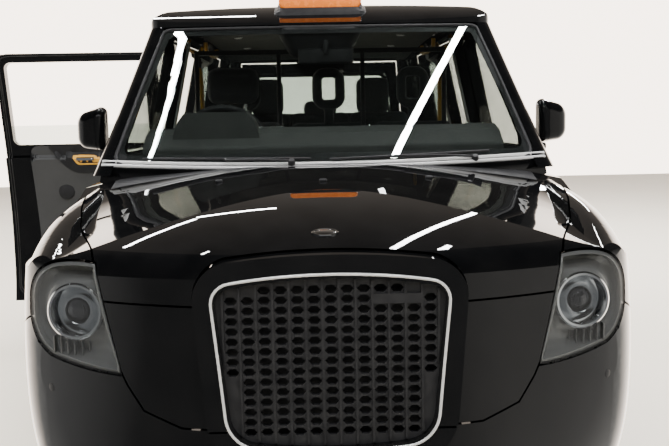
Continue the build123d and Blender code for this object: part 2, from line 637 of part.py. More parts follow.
rim_radius = RIM_DIAMETER / 2
tyre_depth = WHEEL_Z - rim_radius
tyre_points = [((x - 0.5) * TYRE_WIDTH, rim_radius + tyre_depth * r) for x, r in TYRE_SECTION]
tyre_points = [(-TYRE_WIDTH * 0.42, rim_radius)] + tyre_points + [(TYRE_WIDTH * 0.42, rim_radius)]
tyre = turned(tyre_points)
rim_half = TYRE_WIDTH * 0.42
barrel = turned(((-rim_half, rim_radius - BEAD_DEPTH), (-rim_half, rim_radius), (rim_half, rim_radius), (rim_half, rim_radius - BEAD_DEPTH)))
window_corners = []
for radius, half_angle in ((92, -7.0), (196, -12.5), (204, 0.0), (196, 12.5), (92, 7.0)):
    angle = math.radians(half_angle)
    window_corners.append((radius * math.cos(angle), radius * math.sin(angle)))
spoke_window = extrude(Plane.YZ * outline_face(window_corners), 100)
face = turned(((20, SPINDLE_RADIUS + 0.05), (20, rim_radius - 12), (38, rim_radius - 12), (52, 90), (52, SPINDLE_RADIUS + 0.05)))
for n in range(SPOKES):
    face -= Rot(n * 360 / SPOKES, 0, 0) * spoke_window
rim = barrel + face
for side, sign in SIDES:
    for place, s in (("front", FRONT_AXLE_S), ("rear", REAR_AXLE_S)):
        seat = Pos(sign * WHEEL_X, at(s), WHEEL_Z)
        flip = Rot(0, 0, 0 if sign > 0 else 180)
        nodes[f"{place}_tyre_{side}"] = seat * flip * tyre
        nodes[f"{place}_wheel_{side}"] = seat * flip * rim

# Liners in the wheel arches
liners = None
for place, inner_x, s, form in (
    ("front", FRONT_ARCH_INNER_X, FRONT_AXLE_S, front_form(LINER_INSET)),
    ("rear", REAR_ARCH_INNER_X, REAR_AXLE_S, body_form(LINER_INSET)),
):
    width = 1000 - inner_x
    ring = Cylinder(ARCH_RADIUS - SEAT_GAP, width) - Cylinder(ARCH_RADIUS - SEAT_GAP - LINER, width)
    ring = Pos(inner_x + width / 2, at(s), WHEEL_Z) * Rot(0, 90, 0) * ring
    ring = ring & form & block(0, 1100, s - 500, s + 500, 260, 900)
    liner = ring.solids().sort_by(SortBy.VOLUME)[-1]
    liners = liner if liners is None else liners + liner
nodes["arch_liners"] = both_sides(liners)

KNUCKLE_HALF_HEIGHT = 110.0
ARM_DIAMETER = 24.0
ARM_Z = WHEEL_Z - KNUCKLE_HALF_HEIGHT - GLASS_FIT - ARM_DIAMETER / 2
for side, sign in SIDES:
    upright = block(
        715, 800, FRONT_AXLE_S - 45, FRONT_AXLE_S + 45, WHEEL_Z - KNUCKLE_HALF_HEIGHT, WHEEL_Z + KNUCKLE_HALF_HEIGHT,
    )
    spindle = rod((790, FRONT_AXLE_S, WHEEL_Z), (WHEEL_X + 50, FRONT_AXLE_S, WHEEL_Z), SPINDLE_RADIUS * 2)
    knuckle = upright + spindle
    nodes[f"knuckle_{side}"] = knuckle if sign > 0 else mirrored(knuckle)

lower_arms = both_sides(rod((430, FRONT_AXLE_S, ARM_Z), (790, FRONT_AXLE_S, ARM_Z), ARM_DIAMETER))
cradle = block(-450, 450, FRONT_AXLE_S - 130, FRONT_AXLE_S + 130, 205, CRADLE_TOP_Z)
rails = both_sides(block(330, 400, 120, BULKHEAD_S, CRADLE_TOP_Z, 380))
nodes["front_subframe"] = cradle + lower_arms + (rails & front_form(SKIN + SEAT_GAP))
beam = rod((-700, REAR_AXLE_S, WHEEL_Z), (700, REAR_AXLE_S, WHEEL_Z), 90)
stubs = rod((-WHEEL_X - 50, REAR_AXLE_S, WHEEL_Z), (WHEEL_X + 50, REAR_AXLE_S, WHEEL_Z), SPINDLE_RADIUS * 2)
trailing_arms = both_sides(block(540, 590, FLOOR_STEP_S, REAR_AXLE_S, 360, 430))
nodes["rear_axle"] = beam + stubs + trailing_arms

# Power unit, floor and bulkhead
nodes["power_unit"] = block(-300, 300, 480, 1080, CRADLE_TOP_Z, 820)
floor = block(-FLOOR_HALF, FLOOR_HALF, BULKHEAD_S, FLOOR_STEP_S, FLOOR_TOP_Z - FLOOR_THICKNESS, FLOOR_TOP_Z)
floor += block(-640, 640, FLOOR_STEP_S, 4640, LOAD_FLOOR_Z - FLOOR_THICKNESS, LOAD_FLOOR_Z)
floor += block(-640, 640, FLOOR_STEP_S - 40, FLOOR_STEP_S, FLOOR_TOP_Z - FLOOR_THICKNESS, LOAD_FLOOR_Z)
floor += block(-700, 700, BULKHEAD_S, BULKHEAD_S + 25, FLOOR_TOP_Z, 860)
floor += both_sides(block(770, FLOOR_HALF, BULKHEAD_S, FLOOR_STEP_S, GROUND_CLEARANCE + 50, FLOOR_TOP_Z))
bumper_beams = both_sides(block(400, 460, 4400, LENGTH - 30, 400, BUMPER_BEAM_TOP_Z))
bumper_beams += both_sides(block(400, 460, 4400, 4620, 400, LOAD_FLOOR_Z - FLOOR_THICKNESS))
floor += bumper_beams - nodes["rear_bumper"]
nodes["floor"] = floor

# Cabin
DRIVER_X = -430.0
DASH_HALF = 715.0
DASH_FRONT_S = FRONT_DOOR_S + SEAT_GAP
DASH_PROFILE = (
    (DASH_FRONT_S, 880), (DASH_FRONT_S, 1200), (1400, 1252), (1500, 1275),
    (1572, 1245), (1585, 1120), (1500, 1060), (1480, 880),
)
dash = side_cut(DASH_PROFILE, -DASH_HALF, DASH_HALF, radius=18)
hood_seat = Pos(DRIVER_X, at(1455), 1215) * Rot(90, 0, 0)
dash += hood_seat * Cylinder(BINNACLE_RADIUS, 170) & block(-800, 0, 1300, 1600, 1150, 1340)
dash += soft_block(-130, 130, 1480, 1640, 560, 1130, 30)
nodes["dashboard"] = dash
nodes["partition"] = block(-630, 630, PARTITION_S, PARTITION_S + 16, FLOOR_TOP_Z, 1640)
seat = soft_block(DRIVER_X - 245, DRIVER_X + 245, 1790, 2230, 600, 760, 45)
seat += soft_block(DRIVER_X - 235, DRIVER_X + 235, 2130, 2260, 700, 1300, 50)
seat += soft_block(DRIVER_X - 112, DRIVER_X + 112, 2140, 2245, 1270, 1565, 45)
seat += block(DRIVER_X - 200, DRIVER_X + 200, 1840, 2190, FLOOR_TOP_Z, 660)
nodes["driver_seat"] = seat
bench = soft_block(-610, 610, 3480, 4000, LOAD_FLOOR_Z, 850, 50)
bench += soft_block(-610, 610, 3940, 4100, 760, 1350, 50)
for x, top in ((-365, 1585), (0, 1430), (365, 1585)):
    bench += soft_block(x - 114, x + 114, 3960, 4070, 1310, top, 35)
nodes["rear_bench"] = bench

# Tip-up seats, folded against the partition, with ring shaped head rests
tip_seats = None
for x in TIP_SEATS_X:
    back_s = PARTITION_S + 16 + SEAT_GAP
    seat = soft_block(x - 195, x + 195, back_s, back_s + 75, 660, 1290, 24)
    seat += soft_block(x - 195, x + 195, back_s + 60, back_s + 140, 560, 960, 24)
    ring = soft_block(x - 83, x + 83, back_s + 8, back_s + 66, 1350, 1562, 28)
    ring -= soft_block(x - 40, x + 40, back_s - 20, back_s + 90, 1400, 1515, 18)
    seat += ring + block(x - 28, x + 28, back_s + 28, back_s + 46, 1270, 1360)
    tip_seats = seat if tip_seats is None else tip_seats + seat
nodes["tip_up_seats"] = tip_seats

wheel_tilt = 25.0
STEERING_CENTRE = (DRIVER_X, 1690.0, 1190.0)
hoop = Torus(185, 15) + Cylinder(40, 26) + Box(370, 40, 14) - Cylinder(12.05, 60)
steer_place = Pos(STEERING_CENTRE[0], at(STEERING_CENTRE[1]), STEERING_CENTRE[2]) * Rot(wheel_tilt - 90, 0, 0)
nodes["steering_wheel"] = steer_place * hoop
column = steer_place * Pos(0, 0, -80) * Cylinder(12, 180)
nodes["steering_column"] = column - nodes["dashboard"]

# Roof sign
SIGN_FRONT_S = 1795.0
SIGN_DEPTH = 150.0
sign_box = soft_block(-183, 183, SIGN_FRONT_S, SIGN_FRONT_S + SIGN_DEPTH, 1770, 1888, 22)
sign_base = soft_block(-215, 215, SIGN_FRONT_S - 15, SIGN_FRONT_S + SIGN_DEPTH + 15, 1740, 1803, 12)
nodes["sign_base"] = sign_base - roof_form()
nodes["sign_lamp"] = sign_box - roof_form() - nodes["sign_base"]

# Tail lamps
lamp_block = block(700, 1000, 4560, 4900, 780, 1060)
nodes["tail_lamps"] = both_sides(nodes["body_side_left"] & lamp_block)
for side, sign in SIDES:
    hole = lamp_block if sign > 0 else mirrored(lamp_block)
    nodes[f"body_side_{side}"] = nodes[f"body_side_{side}"] - hole
os.makedirs("parts", exist_ok=True)
for name, shape in nodes.items():
    print(name, shape.is_valid, len(shape.solids()), [round(s.volume) for s in shape.solids()][:4])
    export_step(shape, f"parts/{name}.step")
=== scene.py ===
# %% [markdown]
# # A taxi cab, dressed in Blender
# The cab comes in as CAD solids that already have the right size, joints and panel gaps.
# This notebook gives them paint, glass, rubber and chrome, and builds the soft and small
# pieces that CAD leaves plain. Everything is in metres and stays in the CAD frame: the cab
# faces -Y, its own left is +X, and the ground is at z = 0.

# %% Load the frame
import json
import math
import bmesh
import bpy
from mathutils import Matrix, Vector
from mathutils.bvhtree import BVHTree


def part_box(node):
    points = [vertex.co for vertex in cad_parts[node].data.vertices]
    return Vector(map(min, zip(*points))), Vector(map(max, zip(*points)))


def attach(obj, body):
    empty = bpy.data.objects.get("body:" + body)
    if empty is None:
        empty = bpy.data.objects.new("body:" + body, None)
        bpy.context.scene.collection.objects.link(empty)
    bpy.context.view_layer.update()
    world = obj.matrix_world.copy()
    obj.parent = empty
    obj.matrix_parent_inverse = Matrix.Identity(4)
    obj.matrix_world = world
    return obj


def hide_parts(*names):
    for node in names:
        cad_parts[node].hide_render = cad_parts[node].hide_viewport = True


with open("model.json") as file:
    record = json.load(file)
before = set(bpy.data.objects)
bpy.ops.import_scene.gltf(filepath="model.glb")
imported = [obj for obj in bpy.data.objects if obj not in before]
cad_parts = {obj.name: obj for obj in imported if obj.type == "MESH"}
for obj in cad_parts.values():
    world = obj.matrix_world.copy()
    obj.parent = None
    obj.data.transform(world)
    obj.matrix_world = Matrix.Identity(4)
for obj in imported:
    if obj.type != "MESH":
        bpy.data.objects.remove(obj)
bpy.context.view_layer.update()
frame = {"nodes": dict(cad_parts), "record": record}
nodes = frame["nodes"]
LENGTH = 4.857
SIDES = (("left", 1), ("right", -1))


def at(s):
    """The Y of a place s metres behind the foremost point of the cab."""
    return s - LENGTH / 2


# %% [markdown]
# ## Shader maths as plain expressions
# A material is a graph of nodes, and writing one link by link is hard to read. The small
# class below wraps one socket. Adding or multiplying two wrapped sockets adds the Math node,
# and every other node comes from one method. The recipe of a finish then reads like a sum.

# %% One wire of a shader
class Wire:
    """An output socket of a shader node that can be added, multiplied and fed to other nodes."""

    def __init__(self, socket):
        self.socket = socket

    def node(self, kind, settings=None, inputs=None, out=0):
        """Add a node to the same material: its settings first, then what its sockets take."""
        made = self.socket.id_data.nodes.new(kind)
        for key, value in (settings or {}).items():
            if key == "stops":
                ramp = made.color_ramp.elements
                while len(ramp) < len(value):
                    ramp.new(0.5)
                for stop, (place, shade) in zip(ramp, value):
                    stop.position = place
                    stop.color = (shade, shade, shade, 1) if isinstance(shade, float) else (*shade, 1)
            else:
                setattr(made, key, value)
        for key, value in (inputs or {}).items():
            if isinstance(value, Wire):
                self.socket.id_data.links.new(value.socket, made.inputs[key])
            else:
                made.inputs[key].default_value = value
        return Wire(made.outputs[out]) if made.outputs else None

    def math(self, operation, *others):
        inputs = dict(enumerate((self, *others)))
        return self.node("ShaderNodeMath", {"operation": operation}, inputs)

    def __add__(self, other):
        return self.math("ADD", other)

    __radd__ = __add__

    def __mul__(self, other):
        return self.math("MULTIPLY", other)

    __rmul__ = __mul__

    def __sub__(self, other):
        return self.math("SUBTRACT", other)

    def __rsub__(self, other):
        return self.node("ShaderNodeMath", {"operation": "SUBTRACT"}, {0: other, 1: self})

    def noise(self, scale, detail=2.0, roughness=0.5):
        """Smooth random values between 0 and 1, at a scale in waves per metre."""
        inputs = {"Vector": self, "Scale": scale, "Detail": detail, "Roughness": roughness}
        return self.node("ShaderNodeTexNoise", {}, inputs)

    def colours(self, *stops):
        """A colour ramp over this value."""
        return self.node("ShaderNodeValToRGB", {"stops": stops}, {"Fac": self})

    def bump(self, height, distance, strength=1.0):
        """A surface normal that follows a height."""
        inputs = {"Height": height, "Distance": distance, "Strength": strength}
        return self.node("ShaderNodeBump", {}, inputs)

    def mixed(self, blend, other):
        """This colour added to another, or multiplied by it."""
        settings = {"data_type": "RGBA", "blend_type": blend}
        return self.node("ShaderNodeMix", settings, {"Factor": 1.0, 6: self, 7: other}, out=2)

    def part(self, axis):
        """One of X, Y and Z of a position."""
        return self.node("ShaderNodeSeparateXYZ", {}, {0: self}, out=axis)


print("a wire can:", ", ".join(name for name in vars(Wire) if not name.startswith("_")))

# %% [markdown]
# ## Starting and ending a material
# A material of Blender begins here with the place on the piece, in the piece's own space, so
# that a pattern sticks to the piece when it moves. It ends with the Principled shader.

# %% Start and end of a finish
finishes = {}


def new_finish(name):
    """Start a material. Returns the place on the piece, as a wire, for its recipe."""
    material = bpy.data.materials.new(name)
    material.use_nodes = True
    material.node_tree.nodes.clear()
    finishes[name] = material
    start = material.node_tree.nodes.new("ShaderNodeTexCoord")
    return Wire(start.outputs["Object"])


def shine(place, **values):
    """End a recipe with the shader and the material's output. Names use _ for blanks."""
    surface = place.node("ShaderNodeBsdfPrincipled", {}, {k.replace("_", " "): v for k, v in values.items()})
    place.node("ShaderNodeOutputMaterial", {}, {"Surface": surface})


print("finishes so far:", len(finishes))

# %% [markdown]
# ## One form for most finishes
# Most surfaces here differ only in numbers: a colour that wanders between two shades, a
# roughness that wanders too, and often a small bump. One function writes them all. A grain
# is the scale and the detail of a noise.

# %% The mottled finish
def mottled(
    name, grain, dark, pale, rough, rough_grain=None, spread=0.0, relief=None, stops=(0.3, 0.8), **values
):
    """A surface between two shades. Its relief is a recipe that takes the place."""
    place = new_finish(name)
    if relief is not None:
        values["Normal"] = relief(place)
    shine(
        place,
        Base_Color=place.noise(*grain).colours((stops[0], dark), (stops[1], pale)),
        Roughness=rough + place.noise(*rough_grain) * spread if rough_grain else rough,
        **values,
    )


def grained(grain, distance, strength):
    """A recipe for a bump that follows a noise."""
    return lambda place: place.bump(place.noise(*grain), distance, strength)


print("most finishes can now be written in two lines")

# %% [markdown]
# ## The paint
# The cab is glossy black. Black paint is nearly invisible by itself: what the eye sees is
# the clear coat on top, which mirrors lamps and walls. So the base is very dark and rough,
# and the coat on it is smooth. A long shallow bump bends the mirrored lines a little, as
# real pressed panels do, and a trace of dust lifts the roughness.

# %% Black paint
mottled(
    "black_paint", (9, 4), (0.0015, 0.0016, 0.0018), (0.0035, 0.0035, 0.0037), 0.30, (9, 4), 0.12,
    grained((5, 1), 0.0012, 0.35), Specular_IOR_Level=0.0, Coat_Weight=1.0, Coat_Roughness=0.012,
)
print("paint is ready")

# %% [markdown]
# ## Plastic, rubber and metal
# Moulded black plastic has a fine grain and a dull shine. Rubber is duller still, with a
# bloom of grey dust. Chrome is a clean mirror with faint smudges. The strip across the cab's
# front is a paler silver that is only half metal, so its pale colour lights up under any lamp:
# a painted reflection in place of the bright lamp lines that chrome would mirror. Castings
# are rough.

# %% Trim, rubber, chrome and castings
mottled("black_trim", (30, 3), (0.010, 0.010, 0.011), (0.020, 0.020, 0.021), 0.42, (900, 2), 0.2,
        grained((900, 2), 0.0003, 0.5))
mottled("tyre_rubber", (14, 5), (0.011, 0.011, 0.011), (0.030, 0.029, 0.028), 0.62, (14, 5), 0.2,
        grained((700, 3), 0.0004, 0.4), (0.35, 0.75))
mottled("bright_trim", (22, 4), (0.78, 0.79, 0.80), (0.90, 0.91, 0.92), 0.05, (22, 4), 0.09,
        stops=(0.2, 0.9), Metallic=1.0)
# painted reflection: a pale colour on a half metal stands in for the lamp lines that chrome mirrors
mottled("silver_strip", (40, 3), (0.84, 0.84, 0.83), (0.92, 0.92, 0.91), 0.20, (40, 3), 0.06,
        stops=(0.2, 0.9), Metallic=0.55)
mottled("wheel_alloy", (18, 4), (0.33, 0.34, 0.35), (0.50, 0.51, 0.52), 0.28, (18, 4), 0.15,
        grained((1500, 2), 0.0001, 0.3), Metallic=0.9, Coat_Weight=0.4)
mottled("disc_steel", (260, 3), (0.30, 0.30, 0.31), (0.42, 0.42, 0.43), 0.28, (260, 3), 0.15, Metallic=1.0)
mottled("chassis_steel", (60, 5), (0.012, 0.012, 0.012), (0.035, 0.033, 0.031), 0.5, (60, 5), 0.25,
        grained((60, 5), 0.001, 0.5), Metallic=0.2)
mottled("cast_metal", (220, 4), (0.16, 0.16, 0.165), (0.27, 0.27, 0.28), 0.5, (220, 4), 0.2,
        grained((220, 4), 0.0006, 0.6), Metallic=0.7)
mottled("lamp_bezel", (300, 2), (0.13, 0.13, 0.128), (0.17, 0.17, 0.167), 0.30, (300, 2), 0.12, Metallic=0.7)
mottled("mirror_glass", (10, 2), (0.80, 0.81, 0.82), (0.86, 0.87, 0.88), 0.02, (14, 2), 0.02, Metallic=1.0)
mottled("plate_white", (15, 3), (0.70, 0.70, 0.68), (0.78, 0.78, 0.76), 0.25, (40, 2), 0.15)
mottled("plate_yellow", (15, 3), (0.72, 0.50, 0.03), (0.80, 0.57, 0.05), 0.25, (40, 2), 0.15)
print("metals and plastics are ready")

# %% [markdown]
# ## Glass
# Real glass mirrors a little where one looks straight at it and a lot where one looks along
# it, and the rest of the light goes through. A Fresnel value mixes a clear shader with a
# glossy one in just that way, and lets the lamps reach the cabin, which bent glass would not.

# %% Window glass, lamp lenses
def clear_glass(name, tint, least, most):
    """Glass that lets a tint through and mirrors more at a slant."""
    place = new_finish(name)
    edge_on = place.node("ShaderNodeLayerWeight", {}, {"Blend": 0.25}, out=1)
    smear = place.noise(6, 3)
    mirror = least + edge_on * (most - least) + smear * 0.01
    clear = place.node("ShaderNodeBsdfTransparent", {}, {"Color": (*tint, 1)})
    gloss = place.node("ShaderNodeBsdfGlossy", {}, {"Color": (0.9, 0.9, 0.9, 1), "Roughness": 0.0})
    mixed = place.node("ShaderNodeMixShader", {}, {0: mirror, 1: clear, 2: gloss})
    place.node("ShaderNodeOutputMaterial", {}, {"Surface": mixed})


def ribbed(place):
    """Fine level ribs."""
    return place.bump(place.part(2).math("MULTIPLY", 420).math("SINE"), 0.0008, 0.35)


clear_glass("window_glass", (0.86, 0.89, 0.875), 0.05, 0.75)
clear_glass("dark_glass", (0.66, 0.72, 0.70), 0.06, 0.8)
clear_glass("partition_panel", (0.90, 0.92, 0.92), 0.03, 0.5)
clear_glass("lamp_lens", (0.97, 0.98, 0.98), 0.010, 0.06)
mottled("red_lens", (25, 2), (0.35, 0.004, 0.004), (0.48, 0.008, 0.007), 0.08, relief=ribbed,
        Coat_Weight=1.0, Coat_Roughness=0.02)
mottled("amber_lens", (60, 2), (0.55, 0.30, 0.10), (0.65, 0.36, 0.12), 0.12, Coat_Weight=0.8)
mottled("clear_lens", (60, 2), (0.62, 0.62, 0.62), (0.72, 0.72, 0.72), 0.10, Coat_Weight=1.0)
mottled("projector_glass", (40, 2), (0.004, 0.004, 0.005), (0.010, 0.010, 0.012), 0.04,
        Coat_Weight=1.0, Coat_Roughness=0.01)
print("glass is ready")

# %% [markdown]
# ## Cabin finishes
# The cabin has grey moulded trim, a felt roof, a ribbed rubber floor, yellow rails, and dark
# seat cloth with a fine weave. The roof felt is coloured dark grey as painted shade for the
# shadow under the roof, not as the felt's own colour. The roof sign is an orange plastic lens,
# softly lit from its own surface.

# %% Cabin and sign finishes
def studded(place):
    """Small square studs in rows."""
    studs = place.node(
        "ShaderNodeTexVoronoi", {"distance": "CHEBYCHEV"}, {"Vector": place, "Scale": 45.0, "Randomness": 0.0}
    )
    return place.bump(1 - studs, 0.0015, 0.5)


def woven(place):
    """Threads that cross in every plane."""
    across, along, up = [place.part(axis).math("MULTIPLY", 1900).math("SINE") for axis in range(3)]
    return place.bump(across * along + along * up + up * across, 0.0004, 0.5)


mottled("grey_trim", (12, 3), (0.038, 0.039, 0.038), (0.050, 0.051, 0.049), 0.55, (420, 4, 0.6), 0.2,
        grained((420, 4, 0.6), 0.0005, 0.5))
mottled("door_trim", (9, 3), (0.038, 0.039, 0.040), (0.047, 0.048, 0.049), 0.5, (380, 4, 0.6), 0.2,
        grained((380, 4, 0.6), 0.0005, 0.5))
mottled("pale_lining", (10, 3), (0.50, 0.49, 0.46), (0.58, 0.57, 0.54), 0.8, (600, 3), 0.15,
        grained((600, 3), 0.0005, 0.4))
# painted shade: the felt is coloured dark grey for the shadow under the roof
mottled("roof_felt", (8, 3), (0.10, 0.10, 0.095), (0.14, 0.138, 0.130), 0.8, (500, 3), 0.15,
        grained((500, 3), 0.0005, 0.4))
mottled("floor_panel", (16, 5), (0.020, 0.020, 0.022), (0.042, 0.042, 0.044), 0.6, (16, 5), 0.2, studded)
mottled("seat_trim", (260, 3), (0.012, 0.012, 0.013), (0.030, 0.030, 0.032), 0.72, (260, 3), 0.15,
        woven, (0.35, 0.75), Sheen_Weight=0.25)
mottled("seam_dark", (80, 2), (0.008, 0.008, 0.008), (0.015, 0.015, 0.015), 0.6, (200, 2), 0.1)
mottled("grab_yellow", (20, 3), (0.62, 0.30, 0.015), (0.72, 0.37, 0.02), 0.35, (60, 2), 0.1)
mottled("screen_dark", (12, 2), (0.004, 0.005, 0.006), (0.009, 0.010, 0.012), 0.08, Coat_Weight=0.8)
place = new_finish("sign_orange")
mottle = place.noise(30, 3)
shine(
    place,
    Base_Color=mottle.colours((0.3, (0.72, 0.165, 0.012)), (0.8, (0.85, 0.225, 0.02))),
    Roughness=0.22 + mottle * 0.1,
    Coat_Weight=0.6,
    Emission_Color=mottle.colours((0.3, (0.85, 0.17, 0.01)), (0.8, (1.0, 0.26, 0.02))),
    Emission_Strength=0.22,
)
print("finishes:", ", ".join(sorted(finishes)))

# %% [markdown]
# ## Every CAD node gets its finish
# The record says which finish each node has. A CAD node keeps its mesh and its shading, and
# only the material in its slot changes.

# %% Paint the CAD nodes
for row in frame["record"]["subparts"]:
    node = nodes[row["node"]]
    node.data.materials.clear()
    node.data.materials.append(finishes[row["material_slot"]])
print("painted", len(nodes), "nodes")

# %% [markdown]
# ## The camera
# The camera stands where the photograph was taken: close in front of the bonnet, a little
# above its height, looking slightly down. So near, perspective spreads the front of the cab
# wide and makes the cabin small, and only the right distance and lens give that look.

# %% Camera
camera = bpy.data.objects.new("camera", bpy.data.cameras.new("camera"))
bpy.context.scene.collection.objects.link(camera)
bpy.context.scene.camera = camera
LENS, SENSOR = 48.0, 36.0
FRAME_WIDTH, FRAME_HEIGHT = 669, 446
camera.data.lens = LENS
camera.data.sensor_width = SENSOR
yaw, pitch, roll = math.radians(1.015), math.radians(6.762), math.radians(-1.121)
forward = Vector((math.sin(yaw) * math.cos(pitch), math.cos(yaw) * math.cos(pitch), -math.sin(pitch)))
right = forward.cross(Vector((0, 0, 1))).normalized()
up = right.cross(forward)
tilted_right = right * math.cos(roll) + up * math.sin(roll)
tilted_up = up * math.cos(roll) - right * math.sin(roll)
turn = Matrix((tilted_right, tilted_up, -forward)).transposed()
camera.matrix_world = Matrix.Translation((-0.026, -4.6555, 1.311)) @ turn.to_4x4()
print("camera looks along", [round(v, 3) for v in forward])

# %% [markdown]
# ## The floor of the studio
# The floor is one large pale plane, which catches the cab's shadow. It is left out of mirror
# images, or the bumper would turn grey.

# %% Floor
mottled("studio_floor", (0.8, 4), (0.86, 0.79, 0.66), (0.90, 0.83, 0.70), 0.45)
mesh = bmesh.new()
bmesh.ops.create_grid(mesh, x_segments=1, y_segments=1, size=14)
floor_mesh = bpy.data.meshes.new("studio_floor")
mesh.to_mesh(floor_mesh)
mesh.free()
studio_floor = bpy.data.objects.new("studio_floor", floor_mesh)
bpy.context.scene.collection.objects.link(studio_floor)
floor_mesh.materials.append(finishes["studio_floor"])
studio_floor.visible_glossy = False
print("floor:", [round(v, 1) for v in studio_floor.dimensions])

# %% [markdown]
# ## The room around it
# Gloss black shows only what it mirrors, so the room matters as much as the paint. It has no
# walls of geometry: the world's colour depends on the direction one looks in. It is pale
# behind the cab, and dark above and in front of it.

# %% Walls and ceiling as the world's colour
world = bpy.data.worlds.new("pale_room")
bpy.context.scene.world = world
world.use_nodes = True
sky = world.node_tree.nodes["Background"]
direction = Wire(world.node_tree.nodes.new("ShaderNodeTexCoord").outputs["Generated"])
walls = (direction.part(1) * 0.5 + 0.5).colours(
    (0.18, 0.012), (0.50, 0.03), (0.66, (0.13, 0.127, 0.120)), (0.90, (1.0, 0.86, 0.73))
)
sides = (direction.part(0) * 0.5 + 0.5).colours(
    (0.02, (0.10, 0.098, 0.095)), (0.10, 0.015), (0.70, 0.02), (0.88, (0.11, 0.105, 0.098))
)
ceiling = direction.part(2).colours((0.00, 1.0), (0.24, 1.0), (0.40, 0.05), (0.80, 0.012))
both = walls.mixed("ADD", sides)
room = both.mixed("MULTIPLY", ceiling)
world.node_tree.links.new(room.socket, sky.inputs["Color"])
sky.inputs["Strength"].default_value = 6.0
print("room has", len(world.node_tree.nodes), "nodes")

# %% [markdown]
# ## Lamps
# Narrow tube lamps hang slantwise from the ceiling, and their mirror images draw the long
# white lines on the bonnet and the screen. Two wide soft lamps give the even light. They are
# left out of mirror images, or they would lie on the roof and the bonnet as white sheets.

# %% Tube lamps and soft lamps
def ceiling_lamp(name, x, y, z, width, length, power, turned=0.0, tilt=0.0):
    """A flat lamp that hangs at (x, y, z) and shines down."""
    lamp = bpy.data.lights.new(name, "AREA")
    lamp.shape = "RECTANGLE"
    lamp.size = width
    lamp.size_y = length
    lamp.energy = power
    hung = bpy.data.objects.new(name, lamp)
    hung.location = (x, y, z)
    hung.rotation_euler = (tilt, 0, turned)
    bpy.context.scene.collection.objects.link(hung)
    return hung


TUBES = (
    ("screen_left", (-1.505, -0.915), (-0.905, -0.470), 3.0, 0.024),
    ("screen_right", (0.56, -1.13), (0.98, -0.44), 3.0, 0.050),
    ("bonnet_left", (-1.70, 0.12), (-1.10, 0.62), 3.0, 0.050),
    ("bonnet_mid", (-1.10, 0.68), (-0.40, 0.72), 3.0, 0.050),
    ("bonnet_right", (0.85, 1.05), (2.25, 3.60), 5.0, 0.090),
    ("wing_right", (2.45, 2.20), (2.97, 5.90), 3.0, 0.100),
    ("ahead", (-1.70, -3.70), (1.70, -3.70), 3.0, 0.050),
)
TUBE_GLOW = 90
for name, start, end, height, width in TUBES:
    run = Vector(end) - Vector(start)
    middle = (Vector(start) + Vector(end)) / 2
    power = TUBE_GLOW * math.pi * width * run.length
    slant = -math.atan2(run.x, run.y)
    ceiling_lamp(f"tube_{name}", middle.x, middle.y, height, width, run.length, power, turned=slant)
soft = [
    ceiling_lamp("soft_front", 0.0, -6.5, 3.6, 5.0, 2.2, 160, tilt=math.radians(42)),
    ceiling_lamp("soft_top", 0.0, 1.5, 5.2, 12.0, 14.0, 2400),
]
for lamp in soft:
    lamp.visible_glossy = False

# %% [markdown]
# ## Tools for new pieces
# Every new piece starts as a bmesh, gets its finish and rides on a CAD body. Where it stands
# for a CAD node, it hides that node.

# %% Make, ride and finish a piece
made = []
record_slots = [row["slot"] for row in frame["record"]["materials"]]


def piece(name, mesh, finish, body, stands_for=(), smooth=35.0, thin=False):
    """Turn a bmesh into an object that rides on a body. Its normals point outwards."""
    bmesh.ops.remove_doubles(mesh, verts=mesh.verts, dist=0.00002)
    if not thin:
        bmesh.ops.recalc_face_normals(mesh, faces=mesh.faces)
    data = bpy.data.meshes.new(name)
    mesh.to_mesh(data)
    mesh.free()
    return as_piece(name, data, finish, body, stands_for, smooth)


def as_piece(name, data, finish, body, stands_for=(), smooth=35.0):
    """Give a finished mesh its material, its body and soft shading below an angle."""
    data.name = name
    shape = bpy.data.objects.new(name, data)
    bpy.context.scene.collection.objects.link(shape)
    data.materials.clear()
    data.materials.append(finishes[finish])
    data.shade_smooth()
    if smooth < 180:
        data.set_sharp_from_angle(angle=math.radians(smooth))
    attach(shape, body)
    finish in record_slots
    if stands_for:
        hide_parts(*stands_for)
    made.append(shape)
    return shape


def merged(*meshes):
    """One bmesh from several."""
    whole = meshes[0]
    for other in meshes[1:]:
        data = bpy.data.meshes.new("part")
        other.to_mesh(data)
        other.free()
        whole.from_mesh(data)
        bpy.data.meshes.remove(data)
    return whole


print("slots of the record:", len(record_slots))

# %% [markdown]
# ## Boxes and turned forms
# Hardly any real edge is sharp, so a box always has rounded edges here. Round things such as
# caps, lenses and knobs are turned: a profile is spun round an axis. A flat sheet gets its
# thickness by being pushed along, and a mirrored piece has its faces turned over.

# %% Boxes, turned forms and sheets
def soft_box(size, centre, edge=0.004, steps=2, turn=None):
    """A box with rounded edges."""
    mesh = bmesh.new()
    bmesh.ops.create_cube(mesh, size=1.0)
    bmesh.ops.scale(mesh, vec=size, verts=mesh.verts)
    bmesh.ops.bevel(
        mesh, geom=mesh.edges[:], offset=edge, segments=steps, affect="EDGES", profile=0.5, material=-1
    )
    if turn is not None:
        bmesh.ops.transform(mesh, matrix=turn.to_4x4(), verts=mesh.verts)
    bmesh.ops.translate(mesh, vec=centre, verts=mesh.verts)
    return mesh


